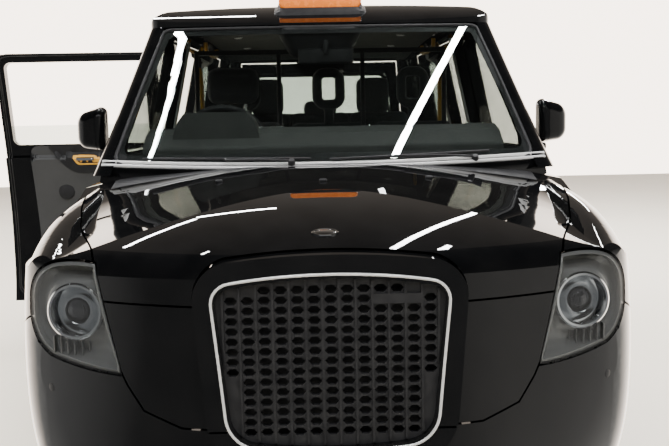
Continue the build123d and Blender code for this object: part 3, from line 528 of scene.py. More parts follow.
def turned(profile, centre, axis, steps=48):
    """Spin a profile of (radius, height) points round an axis through a centre."""
    mesh = bmesh.new()
    ends = [mesh.verts.new((radius, 0, height)) for radius, height in profile]
    lines = [mesh.edges.new(pair) for pair in zip(ends, ends[1:])]
    bmesh.ops.spin(
        mesh, geom=ends + lines, cent=(0, 0, 0), axis=(0, 0, 1), angle=math.tau, steps=steps, use_merge=True
    )
    bmesh.ops.remove_doubles(mesh, verts=mesh.verts, dist=0.00002)
    way = Vector((0, 0, 1)).rotation_difference(Vector(axis)).to_matrix().to_4x4()
    bmesh.ops.transform(mesh, matrix=Matrix.Translation(centre) @ way, verts=mesh.verts)
    return mesh


def thickened(mesh, way):
    """Give a sheet some thickness along a direction."""
    lifted = bmesh.ops.extrude_face_region(mesh, geom=mesh.faces[:])
    tops = [item for item in lifted["geom"] if isinstance(item, bmesh.types.BMVert)]
    bmesh.ops.translate(mesh, vec=way, verts=tops)
    return mesh


def flipped(mesh):
    """Mirror a piece from the left side of the cab to the right side."""
    bmesh.ops.scale(mesh, vec=(-1, 1, 1), verts=mesh.verts)
    bmesh.ops.reverse_faces(mesh, faces=mesh.faces)
    return mesh


print("boxes and turned forms are ready")

# %% [markdown]
# ## Outlines and beads
# An outline is a ring of points with rounded corners, divided so finely that it can follow a
# curved panel. A bead is a round cord of rubber or metal along a line of points.

# %% Outlines and beads
def rect(half_u, half_v):
    """The corners of a rectangle round the origin."""
    return (-half_u, -half_v), (half_u, -half_v), (half_u, half_v), (-half_u, half_v)


def corners(points, radius, steps=4, longest=0.05):
    """An outline of (u, v) points with rounded corners and no side longer than a limit."""
    mesh = bmesh.new()
    mesh.faces.new([mesh.verts.new((u, v, 0)) for u, v in points])
    if radius:
        bmesh.ops.bevel(
            mesh, geom=mesh.verts[:], offset=radius, segments=steps, affect="VERTICES", profile=0.5,
            material=-1,
        )
    mesh.faces.ensure_lookup_table()
    ring = [corner.vert.co.to_2d() for corner in mesh.faces[0].loops]
    mesh.free()
    fine = []
    for here, there in zip(ring, ring[1:] + ring[:1]):
        parts = max(1, math.ceil((there - here).length / longest))
        fine += [here.lerp(there, n / parts) for n in range(parts)]
    return fine


def bead(name, path, diameter, finish, body, closed=False, stands_for=()):
    """A round cord of rubber or metal along a line of points."""
    line = bpy.data.curves.new(name, "CURVE")
    line.dimensions = "3D"
    spline = line.splines.new("POLY")
    spline.points.add(len(path) - 1)
    for point, where in zip(spline.points, path):
        point.co = (*where, 1)
    spline.use_cyclic_u = closed
    line.bevel_depth = diameter / 2
    line.bevel_resolution = 2
    line.use_fill_caps = not closed
    holder = bpy.data.objects.new(name, line)
    data = bpy.data.meshes.new_from_object(holder)
    bpy.data.objects.remove(holder)
    return as_piece(name, data, finish, body, stands_for, smooth=60)


print("a square has", len(corners(rect(0.5, 0.5), 0.1)), "points with its corners rounded")

# %% [markdown]
# ## Finding a place on a panel
# The panels of the cab are curved, so where a small piece sits is not typed in. A ray is shot
# at the CAD node, and the piece goes where the ray lands.

# %% Rays
trees = {}


def surface(*names):
    """A search tree over the triangles of some CAD nodes."""
    if names not in trees:
        points, triangles = [], []
        for name in names:
            data = nodes[name].data
            start = len(points)
            points += [v.co.copy() for v in data.vertices]
            triangles += [[start + i for i in face.vertices] for face in data.polygons]
        trees[names] = BVHTree.FromPolygons(points, triangles)
    return trees[names]


def lands(names, start, way, lift=0.0):
    """Where a ray from start meets some CAD nodes, lifted off along the way back."""
    way = Vector(way).normalized()
    hit = surface(*names).ray_cast(Vector(start), way)[0]
    return None if hit is None else hit - way * lift


roof_spot = lands(("roof",), (0, 0, 3), (0, 0, -1))
print("roof at the middle of the cab:", round(roof_spot.z, 3))

# %% [markdown]
# ## Rubber round the glass
# Each pane sits in a black rubber seal. The seal follows the edge of the window opening, so
# its line is the opening's outline, with rounded corners, shot sideways onto the body.

# %% Window seals
SIDE_WINDOWS = {
    "front_door": (
        (1.408, 1.185), (1.560, 1.345), (1.745, 1.530), (1.880, 1.650), (2.205, 1.655), (2.205, 1.185)
    ),
    "rear_door": ((2.331, 1.185), (2.331, 1.655), (3.130, 1.655), (3.130, 1.185)),
    "quarter": ((3.290, 1.200), (3.290, 1.650), (4.020, 1.640), (4.200, 1.200)),
}
WINDOW_CORNER = 0.035
rear_hinge = Vector((-0.937, at(3.200), 0))
quarter_turn = Matrix.Rotation(math.radians(-90), 4, "Z")
opened = Matrix.Translation(rear_hinge) @ quarter_turn @ Matrix.Translation(-rear_hinge)


def window_line(points, grow, names, sign, lift):
    """The outline of a side window on the outer skin of its panel."""
    middle = Vector((sum(p[0] for p in points), sum(p[1] for p in points))) / len(points)
    line = []
    for point in corners([(at(s), z) for s, z in points], WINDOW_CORNER):
        away = point - Vector((at(middle.x), middle.y))
        spot = point + away.normalized() * grow
        found = lands(names, (sign * 1.2, spot.x, spot.y), (-sign, 0, 0), lift)
        if found is not None:
            line.append(found)
    return line


for side, sign in SIDES:
    for window, points in SIDE_WINDOWS.items():
        if (side, window) == ("right", "rear_door"):
            continue
        names = (f"body_side_{side}",) if window == "quarter" else (f"{window}_{side}",)
        line = window_line(points, 0.010, names, sign, 0.0)
        body = "body" if window == "quarter" else names[0]
        bead(f"{window}_seal_{side}", line, 0.012, "black_trim", body, closed=True)
line = window_line(SIDE_WINDOWS["rear_door"], 0.010, ("rear_door_left",), 1, 0.0)
line = [opened @ Vector((-p.x, p.y, p.z)) for p in line]
bead("rear_door_seal_right", line, 0.012, "black_trim", "rear_door_right", closed=True)
print("side seals:", len(made))

# %% Seals of the screen and the tailgate
def screen_line(points, radius, y_from, way, names):
    """An outline of (x, z) points shot along the car onto the glass or the body."""
    line = [lands(names, (p.x, y_from, p.y), (0, way, 0)) for p in corners(points, radius)]
    return [p for p in line if p is not None]


SCREEN = ((-0.812, 1.150), (-0.700, 1.700), (0.700, 1.700), (0.812, 1.150))
REAR_GLASS = ((-0.570, 1.200), (-0.500, 1.640), (0.500, 1.640), (0.570, 1.200))
line = screen_line([(x * 0.985, z) for x, z in SCREEN], 0.04, -4, 1, ("windscreen",))
bead("screen_seal", line, 0.014, "black_trim", "body", closed=True)
line = screen_line(REAR_GLASS, WINDOW_CORNER, 4, -1, ("tailgate", "tailgate_window"))
bead("tailgate_seal", line, 0.014, "black_trim", "tailgate", closed=True)
print("seals:", len(made))

# %% [markdown]
# ## The foot of the screen
# Two bowed bright beads cross the cab between the screen and the bonnet. A dark sheet below
# them closes the gap behind the bonnet's edge.

# %% Bright strip and cowl
STRIP_HALF = 0.841


def screen_foot(ahead, above):
    """A bowed line across the foot of the screen, ahead of the strip's middle and above it."""
    line = []
    for n in range(49):
        x = STRIP_HALF * (n / 24 - 1)
        bow = (x / STRIP_HALF) ** 2
        line.append(Vector((x, at(1.012) + 0.157 * bow - ahead, 1.136 + 0.015 * bow + above)))
    return line


# the strip's brightness is partly painted reflection, from its pale half-metal finish
bead("screen_foot_strip_rear", screen_foot(-0.015, 0.009), 0.014, "silver_strip", "body")
bead("screen_foot_strip_front", screen_foot(0.001, -0.004), 0.014, "silver_strip", "body")
cowl = bmesh.new()
COWL_ROWS = ((-0.034, 0.006), (-0.002, -0.006), (0.006, -0.016), (0.006, -0.070))
rows = [[cowl.verts.new(p) for p in screen_foot(ahead, above)] for ahead, above in COWL_ROWS]
for upper, lower in zip(rows, rows[1:]):
    for a, b, c, d in zip(upper, upper[1:], lower[1:], lower):
        cowl.faces.new((a, b, c, d))
bmesh.ops.solidify(cowl, geom=cowl.faces[:], thickness=0.003)
piece("screen_foot_cowl", cowl, "black_paint", "body", smooth=50)
print("strip and cowl are on")

# %% [markdown]
# ## Wipers and washer jets
# A wiper is an arm with a spring, and a blade: a thin rubber edge under a slim carrier. Both
# wipers lie parked near the foot of the screen. Three washer jets stand on the bonnet.

# %% Wipers and jets
def on_screen(x, z, lift):
    """A place on the outer face of the windscreen, lifted off it."""
    return lands(("windscreen",), (x, -4, max(z, 1.157)), (0, 1, 0), lift)


for name, pivot, elbow, ends in (
    ("left", (0.56, 1.150), (0.30, 1.166), ((0.62, 1.176), (0.02, 1.160))),
    ("right", (-0.12, 1.150), (-0.36, 1.162), ((-0.05, 1.164), (-0.68, 1.170))),
):
    count = 14
    line = []
    for n in range(count):
        share = n / (count - 1)
        line.append(on_screen(*Vector(ends[0]).lerp(Vector(ends[1]), share), 0.012))
    bead(f"wiper_blade_{name}", line, 0.009, "black_trim", "body")
    bead(f"wiper_edge_{name}", [p + Vector((0, 0.005, -0.004)) for p in line], 0.005, "tyre_rubber", "body")
    foot = on_screen(*pivot, 0.020)
    bend = on_screen(*elbow, 0.030)
    tip = on_screen((ends[0][0] + ends[1][0]) / 2, (ends[0][1] + ends[1][1]) / 2, 0.018)
    arm = [foot, foot.lerp(bend, 0.5) + Vector((0, -0.006, 0.004)), bend, tip]
    bead(f"wiper_arm_{name}", arm, 0.009, "black_trim", "body")
    profile = ((0.0, 0.006), (0.010, 0.005), (0.013, 0.0), (0.013, -0.020), (0.0, -0.020))
    knob = turned(profile, foot, (0, -0.5, 0.85), 24)
    piece(f"wiper_pivot_{name}", knob, "black_trim", "body")


def seen_at(u, v, *names):
    """Where the camera's ray through a pixel of the frame meets some CAD nodes."""
    focal = LENS / SENSOR * FRAME_WIDTH
    across, upward = (u - FRAME_WIDTH / 2) / focal, (FRAME_HEIGHT / 2 - v) / focal
    reach = forward + tilted_right * across + tilted_up * upward
    return surface(*names).ray_cast(camera.location, reach.normalized())[:2]


for number, (u, v) in enumerate(((219, 182), (323, 181), (429, 178))):
    hit, normal = seen_at(u, v, "bonnet", "scuttle")
    if hit is None:
        continue
    jet = soft_box((0.024, 0.016, 0.009), hit + Vector((0, 0, 0.003)), 0.003)
    piece(f"washer_jet_{number}", jet, "black_trim", "bonnet")
print("wipers and jets:", len(made), "pieces so far")

# %% [markdown]
# ## Headlamps
# Behind the clear cover lies a satin grey bowl that runs from the D shaped edge of the cover
# down to a round chromed reflector, with a dark round projector lens in it and upright ribs
# below. The bowl is made of rows of points: the outer row follows the edge of the cover,
# which is a chain of arcs, and the inner row is the reflector's circle.

# %% The edge of the cover
LAMP_RING = Vector((0.712, at(0.232), 0.786))
LAMP_EDGE = (
    (0.639, 0.927), (0.604, 0.778), (0.567, 0.631), (0.690, 0.638), (0.795, 0.656),
    (0.849, 0.704), (0.868, 0.791), (0.846, 0.873), (0.775, 0.921), (0.700, 0.930),
)
STEPS_ROUND = 120


def arc_through(start, bulge, end, steps=12):
    """Points on the arc through three points of a plane, without its end."""
    across = (end - start) / 2
    middle = (start + end) / 2
    side = Vector((-across.y, across.x)).normalized()
    rise = (bulge - middle).dot(side)
    if abs(rise) < 0.0005:
        return [start.lerp(end, n / steps) for n in range(steps)]
    radius = (across.length_squared + rise * rise) / (2 * rise)
    centre = middle + side * (rise - radius)
    first = math.atan2(start.y - centre.y, start.x - centre.x)
    last = math.atan2(end.y - centre.y, end.x - centre.x)
    sweep = (last - first + math.pi) % math.tau - math.pi
    angles = [first + sweep * n / steps for n in range(steps)]
    return [centre + Vector((math.cos(angle), math.sin(angle))) * abs(radius) for angle in angles]


lamp_edge = []
for n in range(0, 10, 2):
    three = [Vector(LAMP_EDGE[(n + k) % 10]) for k in range(3)]
    lamp_edge += arc_through(*three)


def on_edge(angle, grow):
    """Where the cover's edge lies in a direction from the middle of the reflector, grown outwards."""
    way = Vector((math.cos(angle), math.sin(angle)))
    hub = Vector((LAMP_RING.x, LAMP_RING.z))
    far = 0.0
    for a, b in zip(lamp_edge, lamp_edge[1:] + lamp_edge[:1]):
        run = b - a
        bottom = way.x * run.y - way.y * run.x
        if abs(bottom) < 1e-9:
            continue
        off = a - hub
        reach = (off.x * run.y - off.y * run.x) / bottom
        share = (off.x * way.y - off.y * way.x) / bottom
        if reach > 0 and -0.001 <= share <= 1.001:
            far = max(far, reach)
    return hub + way * (far + grow)


print("cover edge has", len(lamp_edge), "points")

# %% [markdown]
# ## Inside the headlamp
# All of a lamp is made for one side at a time, because the covers are mirrored and the
# reflector looks a little outwards.

# %% Bowl, reflector, projector and ribs
for side, sign in SIDES:
    centre = Vector((sign * LAMP_RING.x, LAMP_RING.y, LAMP_RING.z))
    facing = Vector((sign * 0.14, -1, 0.04)).normalized()
    bowl = bmesh.new()
    rows = [[] for row in range(6)]
    seal = []
    for n in range(STEPS_ROUND):
        angle = math.tau * n / STEPS_ROUND
        edge = on_edge(angle, -0.004)
        inner = on_edge(angle, -0.013)
        spot = lands(("headlamp_lenses",), (sign * edge.x, -4, edge.y), (0, 1, 0))
        depth = spot.y if spot is not None else rows[0][-1].co.y - 0.009
        shelf = lands(("headlamp_lenses",), (sign * inner.x, -4, inner.y), (0, 1, 0))
        shelf_y = (shelf.y if shelf is not None else depth) + 0.010
        ring_at = centre + Vector((sign * math.cos(angle) * 0.078, 0, math.sin(angle) * 0.078))
        ring_at.y = centre.y + 0.004 + (ring_at.x - centre.x) * sign * 0.14
        rim = Vector((sign * inner.x, shelf_y, inner.y))
        rows[0].append(bowl.verts.new((sign * edge.x, depth + 0.009, edge.y)))
        rows[1].append(bowl.verts.new(rim))
        for row, share, sink in ((2, 0.08, 0.030), (3, 0.38, 0.046), (4, 0.72, 0.030)):
            point = rim.lerp(ring_at, share)
            point.y += sink
            rows[row].append(bowl.verts.new(point))
        rows[5].append(bowl.verts.new(ring_at))
        outer = on_edge(angle, 0.0005)
        names = ("headlamp_lenses", "front_wing_" + side, "bonnet", "nose_panels", "front_bumper")
        spot = lands(names, (sign * outer.x, -4, outer.y), (0, 1, 0))
        if spot is not None:
            seal.append(spot + Vector((0, 0.001, 0)))
    for outside, inside in zip(rows, rows[1:]):
        for n in range(STEPS_ROUND):
            following = (n + 1) % STEPS_ROUND
            bowl.faces.new((outside[n], outside[following], inside[following], inside[n]))
    stands = ("headlamps",) if side == "left" else ()
    shell = piece(f"lamp_bowl_{side}", bowl, "lamp_bezel", "body", stands, smooth=60, thin=True)
    wall = shell.modifiers.new("wall", "SOLIDIFY")
    wall.thickness = 0.0015
    wall.offset = 0.0
    mirror_bowl = turned(
        ((0.034, 0.052), (0.038, 0.050), (0.048, 0.036), (0.060, 0.016), (0.068, 0.003), (0.0710, -0.003),
         (0.0760, -0.004), (0.0800, 0.000), (0.0800, 0.008)),
        centre, -facing, 72,
    )
    reflector = piece(f"lamp_reflector_{side}", mirror_bowl, "bright_trim", "body", thin=True)
    wall = reflector.modifiers.new("wall", "SOLIDIFY")
    wall.thickness = 0.0012
    profile = (
        (0.0, 0.006), (0.010, 0.0068), (0.020, 0.0105), (0.028, 0.0180), (0.0325, 0.0280), (0.0335, 0.052),
        (0.0, 0.052),
    )
    piece(f"lamp_projector_{side}", turned(profile, centre, -facing, 56), "projector_glass", "body")
    profile = (
        (0.0335, 0.050), (0.0345, 0.022), (0.0370, 0.019), (0.0395, 0.022), (0.0400, 0.050), (0.0335, 0.050)
    )
    shade = turned(profile, centre, -facing, 56)
    piece(f"lamp_shroud_{side}", shade, "bright_trim", "body")
    ribs = []
    for n in range(8):
        x = 0.640 + 0.020 * n
        foot = Vector((sign * x, centre.y + 0.020 + 0.004 * abs(n - 4), 0.682 + 0.001 * n))
        ribs.append(soft_box((0.004, 0.030, 0.056 - 0.002 * abs(n - 3)), foot, 0.0012, 1))
    piece(f"lamp_ribs_{side}", merged(*ribs), "lamp_bezel", "body")
    bead(f"lamp_seal_{side}", seal, 0.006, "black_trim", "body", closed=True)
print("headlamps are dressed")

# %% [markdown]
# ## Grille
# The mesh of six sided openings stays as the CAD made it. Behind it goes a dark sheet, so
# that no light comes through, and round it a ring with a thin bright rim.

# %% Backing sheet and surround
back = soft_box((0.60, 0.004, 0.44), (0, at(0.078), 0.682), 0.001, 1)
piece("grille_backing", back, "black_trim", "body")
frame_low, frame_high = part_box("grille_frame")
frame_middle = Vector((0, frame_low.y + 0.010, (frame_low.z + frame_high.z) / 2))
outer_edge, inner_edge = [], []
for n in range(180):
    angle = math.tau * n / 180
    way = Vector((math.cos(angle), 0, math.sin(angle)))
    outer_edge.append(lands(("grille_frame",), frame_middle + way * 0.6, -way))
    inner_edge.append(lands(("grille_frame",), frame_middle, way))
rim_line = [a.lerp(b, 0.0045 / max((a - b).length, 0.005)) for a, b in zip(outer_edge, inner_edge)]
rim_line = [Vector((p.x, frame_low.y + 0.004, p.z)) for p in rim_line]
# the rim's brightness is partly painted reflection, from the same pale half-metal finish
bead("grille_bright_rim", rim_line, 0.0078, "silver_strip", "body", closed=True, stands_for=("grille_frame",))
ring = bmesh.new()
rows = []
front_y, back_y = frame_low.y + 0.005, frame_high.y
for edge, y in ((outer_edge, back_y), (outer_edge, front_y), (inner_edge, front_y), (inner_edge, back_y)):
    rows.append([ring.verts.new((p.x, y, p.z)) for p in edge])
for front, rear in zip(rows, rows[1:] + rows[:1]):
    for n in range(180):
        ring.faces.new((front[n], front[(n + 1) % 180], rear[(n + 1) % 180], rear[n]))
piece("grille_inner_ring", ring, "black_paint", "body")
print("grille surround:", [round(v, 3) for v in frame_low], [round(v, 3) for v in frame_high])

# %% [markdown]
# ## Bonnet boss
# The middle of the bonnet's front carries a small plain oval boss with a bright edge.

# %% Oval boss
hit, normal = seen_at(325, 233, "bonnet")
profile = (
    (0.0, 0.0045), (0.012, 0.0042), (0.0170, 0.0030), (0.0178, 0.0045), (0.0205, 0.0045), (0.0215, 0.0030),
    (0.0215, -0.004), (0.0, -0.004),
)
boss = turned(profile, (0, 0, 0), (0, 0, 1), 48)
bmesh.ops.scale(boss, vec=(1.7, 1.0, 1.0), verts=boss.verts)
way = Vector((0, 0, 1)).rotation_difference(normal).to_matrix().to_4x4()
bmesh.ops.transform(boss, matrix=Matrix.Translation(hit) @ way, verts=boss.verts)
piece("bonnet_boss", boss, "bright_trim", "bonnet")
print("boss at", [round(v, 3) for v in hit])

# %% [markdown]
# ## Parking sensors
# Small round parking sensors sit flush in the bumpers.

# %% Sensors
def flush_disc(name, start, way, radius, finish, body, names):
    """A thin disc set flush in a panel where a ray meets it."""
    hit, normal = surface(*names).ray_cast(Vector(start), Vector(way).normalized())[:2]
    if hit is None:
        return
    profile = ((0.0, 0.0012), (radius * 0.86, 0.0012), (radius, 0.0002), (radius, -0.003), (0.0, -0.003))
    piece(name, turned(profile, hit, normal, 32), finish, body)


SENSORS = (("front", 1, 0.560, (-0.80, -0.47, 0.47, 0.80)), ("rear", -1, 0.420, (-0.62, -0.22, 0.22, 0.62)))
for end, way, z, places in SENSORS:
    for number, x in enumerate(places):
        start = (x, -4 * way, z)
        name = f"sensor_{end}_{number}"
        flush_disc(name, start, (0, way, 0), 0.012, "black_trim", "body", (f"{end}_bumper",))
print("front is dressed:", len(made), "pieces")

# %% [markdown]
# ## The cabin seen through the glass
# Through the screen one sees a grey fascia with a domed instrument hood, a steering wheel,
# a dark pod at the top of the screen, pale pillars, and a lining of felt under the roof,
# coloured dark grey as painted shade for the shadow under the roof.

# %% Fascia details
dash_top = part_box("dashboard")[1].z
DRIVER_X = (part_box("driver_seat")[0].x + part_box("driver_seat")[1].x) / 2
wheel_low, wheel_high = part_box("steering_wheel")
wheel_centre = (wheel_low + wheel_high) / 2


def on_dash(x, z, lift=0.0):
    """A place on the rear face of the fascia, seen from the seats."""
    return lands(("dashboard",), (x, at(2.2), z), (0, -1, 0), lift)


vents = []
for x in (-0.66, -0.22, 0.22, 0.66):
    spot = on_dash(x, dash_top - 0.10)
    for n in range(5):
        blade = soft_box((0.105, 0.006, 0.004), spot + Vector((0, 0.004, (n - 2) * 0.012)), 0.0015, 1)
        vents.append(blade)
    rim_line = [spot + Vector((p.x, 0.003, p.y)) for p in corners(rect(0.06, 0.035), 0.012)]
    bead(f"vent_rim_{round((x + 1) * 100)}", rim_line, 0.006, "bright_trim", "body", closed=True)
piece("vent_blades", merged(*vents), "black_trim", "body")
spot = on_dash(0.0, dash_top - 0.16, 0.012)
glass = soft_box((0.205, 0.014, 0.175), spot + Vector((0, 0.010, -0.02)), 0.006)
piece("centre_screen", glass, "screen_dark", "body")
spot = on_dash(DRIVER_X, dash_top - 0.075, 0.0)
piece("instrument_panel", soft_box((0.26, 0.012, 0.10), spot, 0.005), "screen_dark", "body")
print("fascia top at", round(dash_top, 3))

# %% [markdown]
# ## The steering wheel
# The rim is a small circle turned round the wheel's axis, which leans back by 25 degrees. A
# hub and three spokes join it, and the whole rides on the body that the joint turns.

# %% Steering wheel
wheel_axis = Vector((0, math.cos(math.radians(25)), math.sin(math.radians(25))))
angles = [math.tau * n / 16 for n in range(16)]
rim_profile = [(0.185 + 0.0155 * math.cos(angle), 0.0135 * math.sin(angle)) for angle in angles]
rim = turned(rim_profile + rim_profile[:1], wheel_centre, wheel_axis, 72)
profile = ((0, 0.030), (0.040, 0.029), (0.066, 0.018), (0.072, 0.000), (0.060, -0.022), (0.0, -0.024))
hub = turned(profile, wheel_centre, wheel_axis, 40)
way = Vector((0, 0, 1)).rotation_difference(wheel_axis).to_matrix()
spokes = [
    soft_box(size, wheel_centre + way @ Vector(place), 0.005, 2, way)
    for size, place in (
        ((0.120, 0.046, 0.016), (0.122, 0.0, 0.0)),
        ((0.120, 0.046, 0.016), (-0.122, 0.0, 0.0)),
        ((0.036, 0.110, 0.014), (0.0, 0.125, 0.0)),
    )
]
whole_wheel = merged(rim, hub, *spokes)
piece("steering_wheel_dressed", whole_wheel, "black_trim", "steering_wheel", ("steering_wheel",))
print("wheel centre:", [round(v, 3) for v in wheel_centre])

# %% [markdown]
# ## Pod and lining
# The pod is a box that narrows downwards, at the top of the screen. The lining is a grid that
# rays press up against the roof.

# %% Pod and lining
pod = bmesh.new()
bmesh.ops.create_cube(pod, size=1.0)
bmesh.ops.scale(pod, vec=(0.40, 0.20, 0.145), verts=pod.verts)
bmesh.ops.scale(pod, vec=(0.62, 0.7, 1.0), verts=[v for v in pod.verts if v.co.z < 0])
bmesh.ops.bevel(pod, geom=pod.edges[:], offset=0.045, segments=4, affect="EDGES", profile=0.5, material=-1)
bmesh.ops.translate(pod, vec=(-0.005, at(1.775), 1.640), verts=pod.verts)
piece("overhead_pod", pod, "black_trim", "body")

lining = bmesh.new()
bmesh.ops.create_grid(lining, x_segments=12, y_segments=24, size=0.5)
bmesh.ops.scale(lining, vec=(1.24, 2.42, 1), verts=lining.verts)
bmesh.ops.translate(lining, vec=(0, at(3.08), 1.75), verts=lining.verts)
for vertex in lining.verts:
    above = lands(("roof",), (vertex.co.x, vertex.co.y, 1.60), (0, 0, 1), 0.012)
    if above is not None:
        vertex.co.z = above.z
bmesh.ops.solidify(lining, geom=lining.faces[:], thickness=0.006)
# the lining's dark grey is painted shade for the shadow under the roof
piece("roof_lining", lining, "roof_felt", "body")
print("cabin is dressed:", len(made), "pieces")

# %% [markdown]
# ## Grab rails
# Bright yellow rails help passengers in. They are bent tubes that stand by the partition and
# hang from the roof above the rear doors.

# %% Rails
def smooth_path(points, steps=8):
    """A rounded line through a few corner points, as Blender's own curve draws it."""
    curve = bpy.data.curves.new("path", "CURVE")
    curve.dimensions = "3D"
    spline = curve.splines.new("NURBS")
    spline.points.add(len(points) - 1)
    for knot, where in zip(spline.points, points):
        knot.co = (*where, 1)
    spline.order_u = 3
    spline.use_endpoint_u = True
    spline.resolution_u = steps
    holder = bpy.data.objects.new("path", curve)
    mesh = bpy.data.meshes.new_from_object(holder)
    line = [v.co.copy() for v in mesh.vertices]
    bpy.data.objects.remove(holder)
    bpy.data.meshes.remove(mesh)
    return line


RAILS = (
    ("partition_rail", 0.026, (
        (0.610, 2.340, 0.75), (0.610, 2.385, 0.76), (0.610, 2.385, 0.95), (0.610, 2.385, 1.30),
        (0.610, 2.385, 1.55), (0.610, 2.340, 1.56),
    )),
    ("roof_rail", 0.022, (
        (0.60, 2.55, 1.715), (0.60, 2.55, 1.675), (0.60, 2.62, 1.665), (0.60, 3.0, 1.665),
        (0.60, 3.07, 1.675), (0.60, 3.07, 1.715),
    )),
)
for side, sign in SIDES:
    for name, diameter, knots in RAILS:
        rail = smooth_path([Vector((sign * x, at(s), z)) for x, s, z in knots])
        bead(f"{name}_{side}", rail, diameter, "grab_yellow", "body")
print("rails are up")

# %% [markdown]
# ## Partition frame
# The clear partition is held by slim dark posts and rails.

# %% Posts of the partition
part_low, part_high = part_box("partition")
part_y = (part_low.y + part_high.y) / 2
SILL_Z = 0.90
posts = [
    soft_box((0.022, 0.024, part_high.z - SILL_Z), (x, part_y, (part_high.z + SILL_Z) / 2), 0.004)
    for x in (-0.62, -0.21, 0.21, 0.62)
]
rails = [soft_box((1.26, 0.026, 0.024), (0, part_y, z), 0.004) for z in (SILL_Z, part_high.z)]
lower = soft_box((1.26, 0.022, 0.50), (0, part_y, 0.65), 0.004)
piece("partition_frame", merged(*posts, *rails), "black_trim", "body")
piece("partition_lower", lower, "grey_trim", "body")
print("partition is framed")

# %% [markdown]
# ## Tyres
# A tyre is turned from its section: a rounded sidewall with a rim strip and raised lines, and
# a nearly flat tread with four grooves round it. The tread also has blocks. One pitch of it
# is spun in two bites, a wide one for a block and a narrow one for the cut beside it, and
# the narrow faces are pressed in. The pitch is then repeated round the axle.

# %% One tyre and its tread
WHEEL_PLACES = {"front": at(0.880), "rear": at(3.865)}
WHEEL_X = 0.815
WHEEL_Z = 0.3555
PITCHES = 66
BLOCK_SHARE = 0.82
HALF_SECTION = (
    (0.2260, 0.078), (0.2290, 0.0905), (0.2350, 0.0955), (0.2420, 0.0960), (0.2440, 0.0940),
    (0.2480, 0.0945), (0.2620, 0.1010), (0.2780, 0.1050), (0.2800, 0.1063), (0.2835, 0.1063),
    (0.2850, 0.1052), (0.3000, 0.1045), (0.3180, 0.1010), (0.3320, 0.0960), (0.3400, 0.0915),
    (0.3440, 0.0890), (0.3480, 0.0850), (0.3510, 0.0790), (0.3532, 0.0640), (0.3535, 0.0610),
    (0.3460, 0.0595), (0.3460, 0.0525), (0.3538, 0.0510), (0.3545, 0.0360), (0.3547, 0.0255),
    (0.3465, 0.0240), (0.3465, 0.0155), (0.3549, 0.0140),
)
SECTION = HALF_SECTION + tuple((radius, -across) for radius, across in reversed(HALF_SECTION))


def build_tyre():
    """A tyre round the X axis, with its centre at the origin."""
    mesh = bmesh.new()
    points = [mesh.verts.new((across, 0, radius)) for radius, across in SECTION]
    line = [mesh.edges.new(pair) for pair in zip(points, points[1:])]
    pitch = math.tau / PITCHES
    round_axle = {"cent": (0, 0, 0), "axis": (1, 0, 0), "use_merge": False}
    bite = bmesh.ops.spin(mesh, geom=points + line, angle=pitch * BLOCK_SHARE, steps=2, **round_axle)
    last = [item for item in bite["geom_last"] if not isinstance(item, bmesh.types.BMFace)]
    before = set(mesh.faces)
    bmesh.ops.spin(mesh, geom=last, angle=pitch * (1 - BLOCK_SHARE), steps=1, **round_axle)
    cuts = []
    for face in mesh.faces:
        middle = face.calc_center_median()
        reach = math.hypot(middle.y, middle.z)
        lug = abs(middle.x) > 0.062 or 0.026 < abs(middle.x) < 0.050
        if face not in before and reach > 0.3505 and lug:
            cuts.append(face)
    pressed = bmesh.ops.extrude_face_region(mesh, geom=cuts)
    inner = [item for item in pressed["geom"] if isinstance(item, bmesh.types.BMVert)]
    bmesh.ops.delete(mesh, geom=cuts, context="FACES_ONLY")
    for vertex in inner:
        reach = math.hypot(vertex.co.y, vertex.co.z)
        depth = 0.0055 if reach > 0.349 else 0.003
        vertex.co.y *= (reach - depth) / reach
        vertex.co.z *= (reach - depth) / reach
    whole = mesh.verts[:] + mesh.edges[:] + mesh.faces[:]
    bmesh.ops.spin(
        mesh, geom=whole, angle=math.tau - pitch, steps=PITCHES - 1, use_duplicate=True, **round_axle
    )
    bmesh.ops.remove_doubles(mesh, verts=mesh.verts, dist=0.0001)
    bmesh.ops.recalc_face_normals(mesh, faces=mesh.faces)
    data = bpy.data.meshes.new("tyre")
    mesh.to_mesh(data)
    mesh.free()
    return data


tyre_mesh = build_tyre()
print("one tyre has", len(tyre_mesh.polygons), "faces")

# %% Four tyres
for side, sign in SIDES:
    for place, y in WHEEL_PLACES.items():
        data = tyre_mesh.copy()
        data.transform(Matrix.Translation((sign * WHEEL_X, y, WHEEL_Z)))
        name = f"tyre_dressed_{place}_{side}"
        as_piece(name, data, "tyre_rubber", f"{place}_wheel_{side}", (f"{place}_tyre_{side}",))
print("tyres are on")

# %% [markdown]
# ## Wheel nuts, caps and discs
# A wheel is held by five nuts in a ring round its cap. Behind the spokes sits a brake disc
# with a bright rubbed face, which turns with the wheel. The front discs are small enough to
# clear the subframe's arms at full steering lock.

